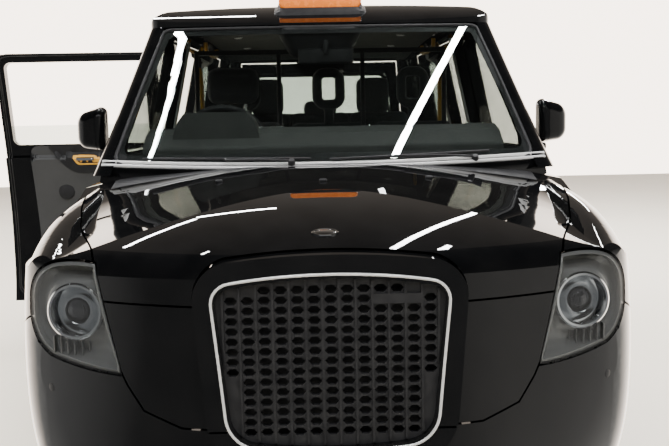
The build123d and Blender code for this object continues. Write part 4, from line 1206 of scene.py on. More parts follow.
# %% Hub details
for side, sign in SIDES:
    out = Vector((sign, 0, 0))
    for place_name, y in WHEEL_PLACES.items():
        body = f"{place_name}_wheel_{side}"
        hub = Vector((sign * WHEEL_X, y, WHEEL_Z))
        start = Vector((sign * 1.2, y, WHEEL_Z))
        rim_of_bore = lands((body,), start + Vector((0, 0, 0.040)), -out)
        face = Vector((rim_of_bore.x, y, WHEEL_Z))
        profile = (
            (0.0, 0.0045), (0.020, 0.0042), (0.0265, 0.0028), (0.0290, 0.0), (0.0290, -0.006), (0.0, -0.006)
        )
        cap = turned(profile, face, out, 40)
        piece(f"wheel_cap_{place_name}_{side}", cap, "black_trim", body)
        nuts = []
        for n in range(5):
            angle = math.tau * (n + 0.5) / 5
            spoke = Vector((0, math.sin(angle), math.cos(angle))) * 0.054
            seat = lands((body,), start + spoke, -out)
            if seat is None:
                continue
            profile = ((0.0, 0.014), (0.006, 0.0135), (0.0095, 0.0105), (0.0100, -0.003), (0.0, -0.003))
            nuts.append(turned(profile, seat, out, 6))
        if nuts:
            piece(f"wheel_nuts_{place_name}_{side}", merged(*nuts), "bright_trim", body, smooth=20)
        disc_radius = 0.096 if place_name == "front" else 0.140
        disc_x = hub + out * -0.012
        disc = turned(
            ((0.045, 0.012), (disc_radius, 0.012), (disc_radius + 0.001, 0.011), (disc_radius + 0.001, 0.003),
             (disc_radius - 0.006, 0.002), (disc_radius - 0.006, -0.002), (disc_radius + 0.001, -0.003),
             (disc_radius + 0.001, -0.011), (disc_radius, -0.012), (0.045, -0.012), (0.045, 0.012)),
            disc_x, out, 72,
        )
        piece(f"brake_disc_{place_name}_{side}", disc, "disc_steel", body)
print("wheels are dressed:", len(made), "pieces")

# %% [markdown]
# ## Panels pressed onto a surface
# A door's inner side is curved, and a moulded panel follows it. So a panel is a flat outline
# that is divided finely, pressed onto the CAD door by rays, and given a thickness.

# %% A trim panel from an outline
def panel_on(outline, radius, names, start_x, way_x, lift, thick, finest=0.05):
    """An outline of (s, z) points pressed onto the side of some CAD nodes, with a thickness."""
    mesh = bmesh.new()
    ring = corners([(at(s), z) for s, z in outline], radius, 4, 0.04)
    mesh.faces.new([mesh.verts.new((start_x, p.x, p.y)) for p in ring])
    bmesh.ops.triangulate(mesh, faces=mesh.faces[:])
    for _ in range(5):
        long_edges = [edge for edge in mesh.edges if edge.calc_length() > finest]
        if not long_edges:
            break
        bmesh.ops.subdivide_edges(mesh, edges=long_edges, cuts=1)
        bmesh.ops.triangulate(mesh, faces=mesh.faces[:])
    reach = []
    for vertex in mesh.verts:
        found = lands(names, vertex.co, (way_x, 0, 0), lift)
        if found is not None:
            vertex.co.x = found.x
            reach.append(found.x)
        else:
            vertex.co.x = reach[-1] if reach else start_x
    return thickened(mesh, (-way_x * thick, 0, 0))


print("panels can be pressed onto doors and pillars")

# %% [markdown]
# ## Inner trim of the rear doors
# Each rear door has a moulded grey panel inside, with a dark wave near its top that carries
# the release handle in a yellow surround, and a round speaker cover lower down. The right
# door stands open, so its pieces are made for the closed left door, mirrored and turned.

# %% Rear door trims
TRIM = ((2.425, 1.176), (3.120, 1.176), (3.120, 0.330), (2.460, 0.330))
WAVE = ((2.520, 1.178), (3.110, 1.178), (3.110, 1.020), (2.700, 1.012), (2.640, 1.040))
HANDLE = ((2.655, 1.130), (2.820, 1.130), (2.860, 1.062), (2.700, 1.062))
HANDLE_HOLE = ((2.676, 1.120), (2.806, 1.120), (2.838, 1.072), (2.714, 1.072))
POCKET = ((2.62, 0.590), (3.090, 0.590), (3.090, 0.440), (2.62, 0.440))
REAR_PANELS = (
    ("rear_trim", TRIM, 0.045, 0.0, 0.012, "door_trim"),
    ("rear_trim_wave", WAVE, 0.030, 0.010, 0.006, "black_trim"),
    ("rear_handle_surround", HANDLE, 0.014, 0.014, 0.005, "grab_yellow"),
    ("rear_handle_cup", HANDLE_HOLE, 0.010, 0.017, 0.004, "black_trim"),
    ("rear_door_pocket", POCKET, 0.03, 0.012, 0.020, "door_trim"),
)
SPEAKER = ((0.0, 0.010), (0.030, 0.009), (0.040, 0.006), (0.046, 0.004), (0.048, -0.004), (0.0, -0.004))


def put_on_door(mesh, side):
    """Move a piece made for the closed left door to the left door or the open right one."""
    if side == "right":
        flipped(mesh)
        bmesh.ops.transform(mesh, matrix=opened, verts=mesh.verts)
    return mesh


door = ("rear_door_left",)
for side in ("left", "right"):
    body = f"rear_door_{side}"
    for name, outline, radius, lift, thick, finish in REAR_PANELS:
        sheet = panel_on(outline, radius, door, 0.2, 1, lift, thick)
        piece(f"{name}_{side}", put_on_door(sheet, side), finish, body, smooth=30)
    spot = lands(door, (0.2, at(2.75), 1.097), (1, 0, 0), 0.026)
    lever = soft_box((0.010, 0.105, 0.020), spot, 0.004)
    piece(f"rear_release_{side}", put_on_door(lever, side), "bright_trim", body)
    spot = lands(door, (0.2, at(2.62), 0.905), (1, 0, 0), 0.012)
    cover = turned(SPEAKER, spot, (-1, 0, 0), 48)
    piece(f"speaker_cover_{side}", put_on_door(cover, side), "black_trim", body)
print("rear door trims:", len(made), "pieces")

# %% [markdown]
# ## Door shut faces
# The edge of an open door shows a double rubber seal all round, and a latch on its free end.

# %% Seals on the door's inner face, and the latch
SEAL_RUN = ((2.312, 0.300), (2.312, 1.150), (2.305, 1.672), (2.330, 1.690), (3.160, 1.690), (3.160, 0.300))
for side in ("left", "right"):
    body = f"rear_door_{side}"
    for name, grow in (("inner", 0.0), ("outer", 0.014)):
        line = []
        for point in corners([(at(s), z) for s, z in SEAL_RUN], 0.05):
            middle = Vector((at(2.74), 0.98))
            spot = point + (point - middle).normalized() * grow
            found = lands(door, (0.2, spot.x, spot.y), (1, 0, 0), 0.0)
            if found is not None and found.x > 0.55:
                line.append(found)
        if side == "right":
            line = [opened @ Vector((-p.x, p.y, p.z)) for p in line]
        bead(f"rear_door_{name}_seal_{side}", line, 0.007, "tyre_rubber", body, closed=True)
print("door seals:", len(made), "pieces")

# %% [markdown]
# ## Outer door handles
# The outer handles lie flush with the waist of the doors, near the middle pillar: a slim bar
# over a shallow dished cup, with bright edges.

# %% Handles
HANDLES = {"front_door": 2.120, "rear_door": 2.415}
for side, sign in SIDES:
    for place_name, s in HANDLES.items():
        body = f"{place_name}_{side}"
        names = (f"{place_name}_left",)
        spot = lands(names, (1.3, at(s), 1.020), (-1, 0, 0))
        spot_low = lands(names, (1.3, at(s), 0.990), (-1, 0, 0))
        lean = math.atan2(spot_low.x - spot.x, 0.03)
        tilt = Matrix.Rotation(-lean, 3, "Y")
        cup = soft_box((0.006, 0.175, 0.060), spot + Vector((0.0005, 0, 0)), 0.0028, 3, tilt)
        bar = soft_box((0.016, 0.190, 0.026), spot + Vector((0.010, 0, 0.010)), 0.007, 4, tilt)
        for mesh, name, finish in ((cup, "cup", "black_trim"), (bar, "bar", "black_paint")):
            if (side, place_name) == ("right", "rear_door"):
                put_on_door(mesh, "right")
            elif side == "right":
                flipped(mesh)
            piece(f"{body}_handle_{name}", mesh, finish, body)
print("door handles are on")

# %% [markdown]
# ## Door mirrors
# A mirror is one rounded shell that is lower at its outer end, with a seam round its middle
# and one down its front, a foot on the door and a pane that faces back. The seams are made
# by cutting the shell along two planes and pressing the strip between them inwards.

# %% A seam pressed into a shell
SEAM = 0.003


def press_seam(mesh, middle, axis, place):
    """Press a narrow seam into a shell all round, where one axis has the given value."""
    way = Vector((0, 0, 0))
    way[axis] = 1
    for offset in (0, SEAM):
        whole = mesh.verts[:] + mesh.edges[:] + mesh.faces[:]
        bmesh.ops.bisect_plane(mesh, geom=whole, plane_co=way * (place + offset), plane_no=way)
    groove = [
        face for face in mesh.faces
        if place < face.calc_center_median()[axis] < place + SEAM and abs(face.normal[axis]) < 0.7
    ]
    pressed = bmesh.ops.extrude_face_region(mesh, geom=groove)
    sunk = [item for item in pressed["geom"] if isinstance(item, bmesh.types.BMVert)]
    bmesh.ops.delete(mesh, geom=groove, context="FACES")
    for vertex in sunk:
        toward = middle - vertex.co
        toward[axis] = 0
        vertex.co += toward.normalized() * SEAM


print("seams are", SEAM * 1000, "mm wide")

# %% [markdown]
# ## Mirror shells
# The shell starts as the box that the CAD mirror fills. Its corners are drawn in to taper it,
# and a wide bevel makes it round.

# %% Mirror shells
for side, sign in SIDES:
    body = f"front_door_{side}"
    low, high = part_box(f"door_mirror_{side}")
    inner, outer = (low.x, high.x) if sign > 0 else (high.x, low.x)
    head_in = inner + sign * 0.030
    middle = Vector(((head_in + outer) / 2, (low.y + high.y) / 2, (low.z + high.z) / 2 + 0.002))
    size = Vector((abs(outer - head_in), high.y - low.y, high.z - low.z - 0.004))
    shell = bmesh.new()
    bmesh.ops.create_cube(shell, size=1.0)
    bmesh.ops.scale(shell, vec=size, verts=shell.verts)
    for vertex in shell.verts:
        front = vertex.co.y < 0
        below = vertex.co.z < 0
        outside = vertex.co.x * sign > 0
        if front:
            vertex.co.x *= 0.84
            vertex.co.z *= 0.86
        if below and not outside:
            vertex.co.z += 0.006
        if below and outside:
            vertex.co.z += 0.024
        if outside and not below:
            vertex.co.z -= 0.038
        if outside and front:
            vertex.co.y += 0.022
    bmesh.ops.bevel(
        shell, geom=shell.edges[:], offset=0.036, segments=7, affect="EDGES", profile=0.5, material=-1
    )
    bmesh.ops.translate(shell, vec=middle, verts=shell.verts)
    press_seam(shell, middle, 1, middle.y + 0.012)
    press_seam(shell, middle, 0, head_in + sign * size.x * 0.34)
    piece(f"mirror_shell_{side}", shell, "black_paint", body, (f"door_mirror_{side}",), smooth=50)
    sides = [(-sign * x, z) for x, z in ((0.047, -0.086), (-0.047, -0.070), (-0.047, 0.052), (0.047, 0.086))]
    outline = corners(sides, 0.024, 5)
    pane = bmesh.new()
    pane.faces.new([pane.verts.new((middle.x + p.x, high.y - 0.003, middle.z + p.y)) for p in outline])
    piece(f"mirror_pane_{side}", thickened(pane, (0, 0.0045, 0)), "mirror_glass", body)
    foot_spot = lands((body,), (sign * 1.3, middle.y + 0.004, 1.172), (-sign, 0, 0))
    foot = soft_box((0.085, 0.060, 0.030), (foot_spot.x + sign * 0.022, middle.y + 0.004, 1.176), 0.010, 4)
    base = soft_box((0.020, 0.110, 0.062), (foot_spot.x + sign * 0.002, middle.y + 0.004, 1.170), 0.008, 4)
    piece(f"mirror_foot_{side}", merged(foot, base), "black_trim", body)
print("mirrors are dressed:", len(made), "pieces")

# %% [markdown]
# ## Objects for a moment
# Modifiers and cloth need an object in the scene. The helpers below make such an object, read
# off the mesh that comes out, and take the object away again.

# %% Temporary objects
scene = bpy.context.scene
CLOTH_FRAMES = 20
PAD_PRESSURE = 4.0


def eased(name, mesh, steps):
    """A temporary object of a mesh, with some modifiers on it."""
    data = bpy.data.meshes.new(name)
    mesh.to_mesh(data)
    mesh.free()
    holder = bpy.data.objects.new(name, data)
    scene.collection.objects.link(holder)
    for kind, settings in steps:
        modifier = holder.modifiers.new(kind.lower(), kind)
        for key, value in settings.items():
            setattr(modifier, key, value)
    return holder


def evaluated(holder):
    """A real mesh of what a temporary object looks like now."""
    graph = bpy.context.evaluated_depsgraph_get()
    return bpy.data.meshes.new_from_object(holder.evaluated_get(graph))


def removed(holder):
    """Take a temporary object and its mesh away."""
    old = holder.data
    bpy.data.objects.remove(holder)
    if old.users == 0:
        bpy.data.meshes.remove(old)


print("cloth runs for", CLOTH_FRAMES, "frames")

# %% [markdown]
# ## Seats
# A seat pad is foam in a sewn cover. The cover is tight, so the pad is round at its edges and
# a little crowned on top, and pulls in between its corners. To get that, a plain box is
# remeshed into small squares and blown up a little as cloth with air pressure inside, with
# gravity off. It is then fitted back to the space that the CAD solid holds. Pads of one
# shape are blown up once and copied.

# %% Blow up one pad
def pad_mesh(name, size, edge, voxel, cap=0.024, slack=0.014):
    """A padded form of a size round the origin, blown up as a cloth with air in it."""
    start = soft_box([side - 2 * slack for side in size], (0, 0, 0), edge, 4)
    holder = eased(name, start, (("REMESH", {"mode": "VOXEL", "voxel_size": voxel}),))
    fine = evaluated(holder)
    removed(holder)
    holder = bpy.data.objects.new(name, fine)
    scene.collection.objects.link(holder)
    before = [v.co.copy() for v in fine.vertices]
    cloth = holder.modifiers.new("cloth", "CLOTH")
    cloth.settings.use_pressure = True
    cloth.settings.uniform_pressure_force = PAD_PRESSURE
    cloth.settings.effector_weights.gravity = 0.0
    cloth.settings.quality = 4
    cloth.point_cache.frame_start = 1
    cloth.point_cache.frame_end = CLOTH_FRAMES
    for number in range(1, CLOTH_FRAMES + 1):
        scene.frame_set(number)
    blown = evaluated(holder)
    for vertex, old in zip(blown.vertices, before):
        step = vertex.co - old
        if step.length > cap:
            vertex.co = old + step.normalized() * cap
    removed(holder)
    fine = blown
    scene.frame_set(1)
    mesh = bmesh.new()
    mesh.from_mesh(fine)
    bpy.data.meshes.remove(fine)
    bmesh.ops.smooth_vert(
        mesh, verts=mesh.verts, factor=0.5, use_axis_x=True, use_axis_y=True, use_axis_z=True
    )
    low = Vector([min(v.co[i] for v in mesh.verts) for i in range(3)])
    high = Vector([max(v.co[i] for v in mesh.verts) for i in range(3)])
    bmesh.ops.translate(mesh, vec=-(low + high) / 2, verts=mesh.verts)
    bmesh.ops.scale(mesh, vec=[size[i] / (high[i] - low[i]) for i in range(3)], verts=mesh.verts)
    print(name, "pad:", len(mesh.faces), "faces")
    return mesh


# %% [markdown] ## Sewing and placing a pad Channels are pressed in where the cover is sewn
# down, a welt runs round the edge, and each copy of a pad is turned and moved to its place.

# %% Channels, welts and places
def sewn(mesh, axis, lines, depth=0.007, width=0.010, side=1):
    """Press sewn channels into the outer face of a pad, at some places along an axis."""
    for vertex in mesh.verts:
        if vertex.normal.z * side < 0.3:
            continue
        for line in lines:
            away = (vertex.co[axis] - line) / width
            vertex.co.z -= side * depth * math.exp(-away * away)
    return mesh


def finished(mesh, name):
    """A mesh from a bmesh, divided once more and smoothed."""
    holder = eased(name, mesh, (("SUBSURF", {"levels": 1, "render_levels": 1}),))
    data = evaluated(holder)
    removed(holder)
    return data


def seat_pad(name, data, centre, lean, body, stands_for=()):
    """Put a copy of a pad in its place: its face turns from +Z to a direction in the YZ plane."""
    made_here = data.copy()
    made_here.transform(Matrix.Translation(centre) @ Matrix.Rotation(lean, 4, "X"))
    shape = as_piece(name, made_here, "seat_trim", body, stands_for, smooth=180)
    return shape


def welt(name, half_x, half_y, height, corner, centre, lean, body):
    """A thin sewn edge round the face of a pad."""
    place_it = Matrix.Translation(centre) @ Matrix.Rotation(lean, 4, "X")
    ring = corners(rect(half_x, half_y), corner, 6, 0.04)
    line = [place_it @ Vector((p.x, p.y, height)) for p in ring]
    bead(name, line, 0.006, "seam_dark", body, closed=True)


FACES_BACK = math.radians(-90)
FACES_FRONT = math.radians(90)
print("back pads are turned by", round(math.degrees(FACES_FRONT)), "degrees")

# %% [markdown]
# ## Driver's seat
# The seat has a base, a back and a head rest on two posts, over a plinth on slides.

# %% Driver's seat
seat_low, seat_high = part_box("driver_seat")
seat_x = (seat_low.x + seat_high.x) / 2
pad = sewn(pad_mesh("driver_base", (0.490, 0.430, 0.160), 0.045, 0.012), 0, (-0.150, 0.150))
driver_base = finished(sewn(pad, 1, (0.02,), 0.005), "driver_base")
seat_pad("driver_seat_base", driver_base, (seat_x, at(2.010), 0.680), 0.0, "body", ("driver_seat",))
pad = sewn(pad_mesh("driver_back", (0.470, 0.590, 0.125), 0.048, 0.012), 0, (-0.140, 0.140))
driver_back = finished(sewn(pad, 1, (-0.13, 0.14), 0.005), "driver_back")
seat_pad("driver_seat_back", driver_back, (seat_x, at(2.195), 1.000), FACES_FRONT, "body", ())
head = finished(pad_mesh("driver_head", (0.250, 0.175, 0.100), 0.040, 0.009), "driver_head")
seat_pad("driver_head_rest", head, (seat_x, at(2.192), 1.472), FACES_FRONT, "body", ())
welt("driver_base_welt", 0.205, 0.178, 0.070, 0.05, (seat_x, at(2.010), 0.680), 0.0, "body")
posts = [soft_box((0.012, 0.012, 0.150), (seat_x + x, at(2.195), 1.345), 0.004) for x in (-0.055, 0.055)]
piece("driver_head_posts", merged(*posts), "bright_trim", "body")
plinth = soft_box((0.400, 0.350, 0.200), (seat_x, at(2.015), 0.503), 0.020, 3)
skirt = soft_box((0.470, 0.400, 0.060), (seat_x, at(2.010), 0.612), 0.020, 3)
piece("driver_seat_plinth", merged(plinth, skirt), "black_trim", "body")
slides = [soft_box((0.030, 0.430, 0.022), (seat_x + x, at(2.02), 0.412), 0.005) for x in (-0.17, 0.17)]
piece("driver_seat_slides", merged(*slides), "chassis_steel", "body")
back_shell = soft_box((0.450, 0.018, 0.520), (seat_x, at(2.250), 1.000), 0.008, 3)
piece("driver_seat_shell", back_shell, "black_trim", "body")
print("driver's seat:", len(made), "pieces")

# %% [markdown]
# ## Rear bench
# The bench has three places side by side. The middle head rest is lower than the outer ones.

# %% Rear bench
pad = sewn(pad_mesh("bench_base", (0.404, 0.500, 0.150), 0.045, 0.012), 1, (0.10,), 0.006)
bench_base = finished(pad, "bench_base")
pad = sewn(pad_mesh("bench_back", (0.404, 0.560, 0.120), 0.045, 0.012), 1, (-0.10, 0.12), 0.006)
bench_back = finished(pad, "bench_back")
bench_head = finished(pad_mesh("bench_head", (0.226, 0.250, 0.100), 0.038, 0.009), "bench_head")
low_head = finished(pad_mesh("bench_low_head", (0.226, 0.120, 0.100), 0.034, 0.009), "bench_low_head")
for number, x in enumerate((-0.4045, 0.0, 0.4045)):
    stands = ("rear_bench",) if number == 0 else ()
    seat_pad(f"bench_base_{number}", bench_base, (x, at(3.735), 0.772), 0.0, "body", stands)
    seat_pad(f"bench_back_{number}", bench_back, (x, at(4.005), 1.065), FACES_FRONT, "body", ())
HEADS = ((-0.365, 1.455, bench_head), (0.0, 1.365, low_head), (0.365, 1.455, bench_head))
for number, (x, z, shape) in enumerate(HEADS):
    seat_pad(f"bench_head_rest_{number}", shape, (x, at(4.015), z), FACES_FRONT, "body", ())
    posts = [soft_box((0.012, 0.012, 0.100), (x + step, at(4.030), 1.330), 0.004) for step in (-0.05, 0.05)]
    piece(f"bench_head_posts_{number}", merged(*posts), "bright_trim", "body")
plinth = soft_box((1.200, 0.480, 0.150), (0, at(3.745), 0.618), 0.015, 3)
rear_shell = soft_box((1.200, 0.030, 0.560), (0, at(4.078), 1.060), 0.012, 3)
piece("bench_plinth", merged(plinth, rear_shell), "black_trim", "body")
print("bench:", len(made), "pieces")

# %% [markdown]
# ## Tip-up seats
# Three seats that face backwards fold up against the partition. Each has a back pad, a seat
# pad that stands upright in front of it, and a head rest that is a rounded ring.

# %% Tip-up seats
pad = sewn(pad_mesh("tip_back", (0.386, 0.620, 0.072), 0.028, 0.010), 1, (-0.12, 0.12), 0.004)
tip_back = finished(pad, "tip_back")
pad = sewn(pad_mesh("tip_seat", (0.386, 0.395, 0.078), 0.028, 0.010), 1, (0.0,), 0.004)
tip_seat = finished(pad, "tip_seat")
TIP_BACK_Y = at(2.3225)
for number, x in enumerate((-0.390, 0.038, 0.466)):
    stands = ("tip_up_seats",) if number == 0 else ()
    seat_pad(f"tip_back_{number}", tip_back, (x, TIP_BACK_Y + 0.037, 0.975), FACES_BACK, "body", stands)
    seat_pad(f"tip_seat_{number}", tip_seat, (x, TIP_BACK_Y + 0.101, 0.760), FACES_BACK, "body", ())
    ring = corners(rect(0.058, 0.080), 0.040, 8, 0.02)
    loop = [Vector((x + p.x, TIP_BACK_Y + 0.034, 1.456 + p.y)) for p in ring]
    head_ring = bead(f"tip_head_ring_{number}", loop, 0.050, "seat_trim", "body", closed=True)
    post = soft_box((0.050, 0.016, 0.100), (x, TIP_BACK_Y + 0.036, 1.318), 0.006)
    hinge = soft_box((0.360, 0.030, 0.030), (x, TIP_BACK_Y + 0.075, 0.565), 0.010, 3)
    piece(f"tip_seat_frame_{number}", merged(post, hinge), "black_trim", "body")
print("seats are made:", len(made), "pieces")

# %% [markdown]
# ## Pillar trims
# Inside, pale mouldings cover the pillars. The middle and rear ones are pressed onto the body
# side, and the front ones follow the slant of the screen through rows of points.

# %% Pale mouldings on the body sides
PILLAR_TRIMS = {
    "middle": ((2.240, 0.60), (2.296, 0.60), (2.296, 1.690), (2.240, 1.690)),
    "rear": ((3.215, 0.700), (3.285, 0.700), (3.285, 1.690), (3.215, 1.690)),
}
FRONT_PILLAR = ((1.225, 1.315, 0.795), (1.250, 1.345, 0.790), (1.300, 1.375, 0.780), (1.350, 1.425, 0.765),
                (1.400, 1.475, 0.755), (1.450, 1.525, 0.745), (1.500, 1.575, 0.735), (1.550, 1.625, 0.725),
                (1.600, 1.675, 0.710), (1.650, 1.725, 0.700), (1.690, 1.745, 0.686))
for side, sign in SIDES:
    for name, outline in PILLAR_TRIMS.items():
        trim = panel_on(outline, 0.012, (f"body_side_{side}",), sign * 0.2, sign, 0.0, 0.006)
        piece(f"{name}_pillar_trim_{side}", trim, "pale_lining", "body", smooth=50)
    strip = bmesh.new()
    rows = []
    for z, s, x in FRONT_PILLAR:
        half = 0.010 if z == FRONT_PILLAR[0][0] else 0.024
        rows.append([strip.verts.new((sign * (x - 0.007), at(s + far), z)) for far in (-half, 0, half)])
    for upper, lower in zip(rows, rows[1:]):
        for n in (0, 1):
            strip.faces.new((upper[n], upper[n + 1], lower[n + 1], lower[n]))
    bmesh.ops.recalc_face_normals(strip, faces=strip.faces)
    bmesh.ops.solidify(strip, geom=strip.faces[:], thickness=0.004)
    piece(f"front_pillar_trim_{side}", strip, "pale_lining", "body", smooth=50)
print("pillar trims are on")

# %% [markdown]
# ## Dark bands of the screens
# The screen and the rear window have a dark printed band round their edge that hides the
# glue. The band is a strip between two outlines, both pressed onto the glass.

# %% Bands
def band_on(name, outline, radius, inward, y_from, way, names, lift, finish, body):
    """A flat band along the inside of an outline of (x, z) points, pressed onto glass."""
    outer = corners(outline, radius, 6, 0.05)
    middle = Vector((sum(p.x for p in outer), sum(p.y for p in outer))) / len(outer)
    mesh = bmesh.new()
    pairs = []
    for point in outer:
        toward = middle - point
        step = Vector([math.copysign(min(abs(value), inward), value) for value in toward])
        ends = [lands(names, (p.x, y_from, p.y), (0, way, 0), lift) for p in (point, point + step)]
        if None not in ends:
            pairs.append([mesh.verts.new(end) for end in ends])
    for (a, b), (c, d) in zip(pairs, pairs[1:] + pairs[:1]):
        mesh.faces.new((a, b, d, c))
    bmesh.ops.recalc_face_normals(mesh, faces=mesh.faces)
    bmesh.ops.solidify(mesh, geom=mesh.faces[:], thickness=0.0008)
    return piece(name, mesh, finish, body)


inside = [(x * 0.985, z + (0.006 if z < 1.3 else -0.004)) for x, z in SCREEN]
band_on("screen_band", inside, 0.040, 0.026, -4, 1, ("windscreen",), -0.0065, "black_trim", "body")
inside = [(x * 0.985, z + (0.004 if z < 1.3 else -0.004)) for x, z in REAR_GLASS]
names = ("tailgate_window",)
band_on("rear_screen_band", inside, 0.035, 0.022, 4, -1, names, -0.0065, "black_trim", "tailgate")
print("bands are on:", len(made), "pieces")

# %% [markdown]
# ## Inside mirror, visors and roof lamps
# A mirror hangs below the pod, two visors lie against the lining, and small round lamps
# light the rear cabin.

# %% Cabin fittings
mirror_case = soft_box((0.240, 0.026, 0.068), (0.020, at(1.700), 1.575), 0.012, 4)
mirror_stalk = soft_box((0.024, 0.040, 0.060), (0.020, at(1.690), 1.612), 0.006)
piece("inside_mirror", merged(mirror_case, mirror_stalk), "black_trim", "body")
mirror_face = soft_box((0.226, 0.003, 0.056), (0.020, at(1.7145), 1.575), 0.001, 1)
piece("inside_mirror_glass", mirror_face, "mirror_glass", "body")
# the visors take the same dark felt, painted shade for the shadow under the roof
for side, sign in SIDES:
    above = lands(("roof",), (sign * 0.42, at(1.98), 1.55), (0, 0, 1), 0.030)
    visor = soft_box((0.420, 0.160, 0.016), above, 0.007, 3)
    piece(f"sun_visor_{side}", visor, "roof_felt", "body")
ROOF_LAMPS = ((-0.14, 2.15), (0.14, 2.15), (-0.45, 2.80), (0.45, 2.80), (-0.45, 3.45), (0.45, 3.45))
for number, (x, s) in enumerate(ROOF_LAMPS):
    above = lands(("roof",), (x, at(s), 1.55), (0, 0, 1), 0.014)
    if above is None:
        continue
    profile = ((0.0, 0.010), (0.018, 0.009), (0.024, 0.004), (0.026, 0.0), (0.026, -0.004), (0.0, -0.004))
    piece(f"roof_lamp_{number}", turned(profile, above, (0, 0, -1), 32), "plate_white", "body")
print("cabin fittings are in")

# %% [markdown]
# ## Front door trims, pedals and mats
# The front doors have the same moulded panels as the rear ones, with an arm rest. Two pedals
# hang under the fascia, and ribbed mats cover the floor.

# %% Front doors inside, pedals and mats
FRONT_TRIM = ((1.395, 1.172), (2.180, 1.172), (2.180, 0.330), (1.500, 0.330), (1.395, 0.480))
ARM_REST = ((1.620, 0.905), (2.120, 0.905), (2.120, 0.835), (1.620, 0.835))
SWITCHES = ((1.700, 0.960), (1.860, 0.960), (1.860, 0.915), (1.700, 0.915))
FRONT_PANELS = (
    ("front_trim", FRONT_TRIM, 0.040, 0.0, 0.010, "door_trim"),
    ("arm_rest", ARM_REST, 0.025, 0.008, 0.045, "black_trim"),
    ("window_switches", SWITCHES, 0.012, 0.008, 0.012, "screen_dark"),
)
for side, sign in SIDES:
    body = f"front_door_{side}"
    for name, outline, radius, lift, thick, finish in FRONT_PANELS:
        sheet = panel_on(outline, radius, (body,), sign * 0.2, sign, lift, thick)
        piece(f"{name}_{side}", sheet, finish, body, smooth=30)
    spot = lands((body,), (sign * 0.2, at(1.72), 1.075), (sign, 0, 0), 0.020)
    piece(f"front_release_{side}", soft_box((0.014, 0.110, 0.022), spot, 0.005), "bright_trim", body)
pedals = []
pad_lean = Matrix.Rotation(math.radians(25), 3, "X")
arm_lean = Matrix.Rotation(math.radians(6), 3, "X")
for x, width in ((-0.475, 0.090), (-0.335, 0.055)):
    pedals.append(soft_box((width, 0.018, 0.070), (x, at(1.430), 0.560), 0.006, 2, pad_lean))
    pedals.append(soft_box((0.020, 0.016, 0.400), (x, at(1.395), 0.745), 0.005, 2, arm_lean))
piece("pedals", merged(*pedals), "black_trim", "body")
mats = []
for x0, x1, s0, s1 in ((-0.66, -0.16, 1.36, 1.78), (0.14, 0.66, 1.36, 2.26), (-0.64, 0.64, 2.48, 3.38)):
    middle = ((x0 + x1) / 2, at((s0 + s1) / 2), 0.4043)
    mats.append(soft_box((x1 - x0, s1 - s0, 0.008), middle, 0.0035, 2))
piece("floor_mats", merged(*mats), "floor_panel", "body")
print("doors, pedals and mats:", len(made), "pieces")

# %% [markdown]
# ## The back of the cab
# The tailgate carries a wiper, a long handle above the plate, two plate lamps and a high
# stop lamp under the roof edge.

# %% Tailgate fittings
def on_tail(x, z, lift=0.0, names=("tailgate", "tailgate_window")):
    """A place on the outer face of the tailgate."""
    return lands(names, (x, 4, z), (0, -1, 0), lift)


spot = on_tail(0.0, 1.150, 0.014)
profile = ((0, 0.016), (0.020, 0.015), (0.028, 0.006), (0.030, -0.018), (0, -0.018))
piece("rear_wiper_hub", turned(profile, spot, (0, 1, 0.1), 32), "black_trim", "tailgate")
line = [on_tail(x, 1.240 + 0.02 * x, 0.016) for x in [-0.44 + 0.05 * n for n in range(10)]]
bead("rear_wiper_blade", line, 0.012, "black_trim", "tailgate")
bead("rear_wiper_edge", [p + Vector((0, -0.007, 0)) for p in line], 0.005, "tyre_rubber", "tailgate")
ends = (spot, spot.lerp(line[4], 0.5), line[4])
arm = [end + Vector((0, rise, 0)) for end, rise in zip(ends, (0.006, 0.010, 0.006))]
bead("rear_wiper_arm", arm, 0.012, "black_trim", "tailgate")
spot = on_tail(0.0, 1.668, 0.004)
piece("high_stop_lamp", soft_box((0.320, 0.016, 0.022), spot, 0.006, 3), "red_lens", "tailgate")
spot = on_tail(0.0, 1.020, 0.012)
piece("tailgate_handle", soft_box((0.560, 0.024, 0.036), spot, 0.010, 4), "black_trim", "tailgate")
strip = soft_box((0.520, 0.006, 0.010), spot + Vector((0, 0.013, 0.008)), 0.0025, 2)
piece("tailgate_handle_strip", strip, "bright_trim", "tailgate")
for number, x in enumerate((-0.15, 0.15)):
    lamp = soft_box((0.050, 0.016, 0.008), spot + Vector((x, 0.002, -0.020)), 0.003, 2)
    piece(f"plate_lamp_{number}", lamp, "plate_white", "tailgate")
print("tailgate:", len(made), "pieces")

# %% [markdown]
# ## Number plates
# Both plates are blank. A plate is a thin sheet with a raised rim, on a holder with two screws.

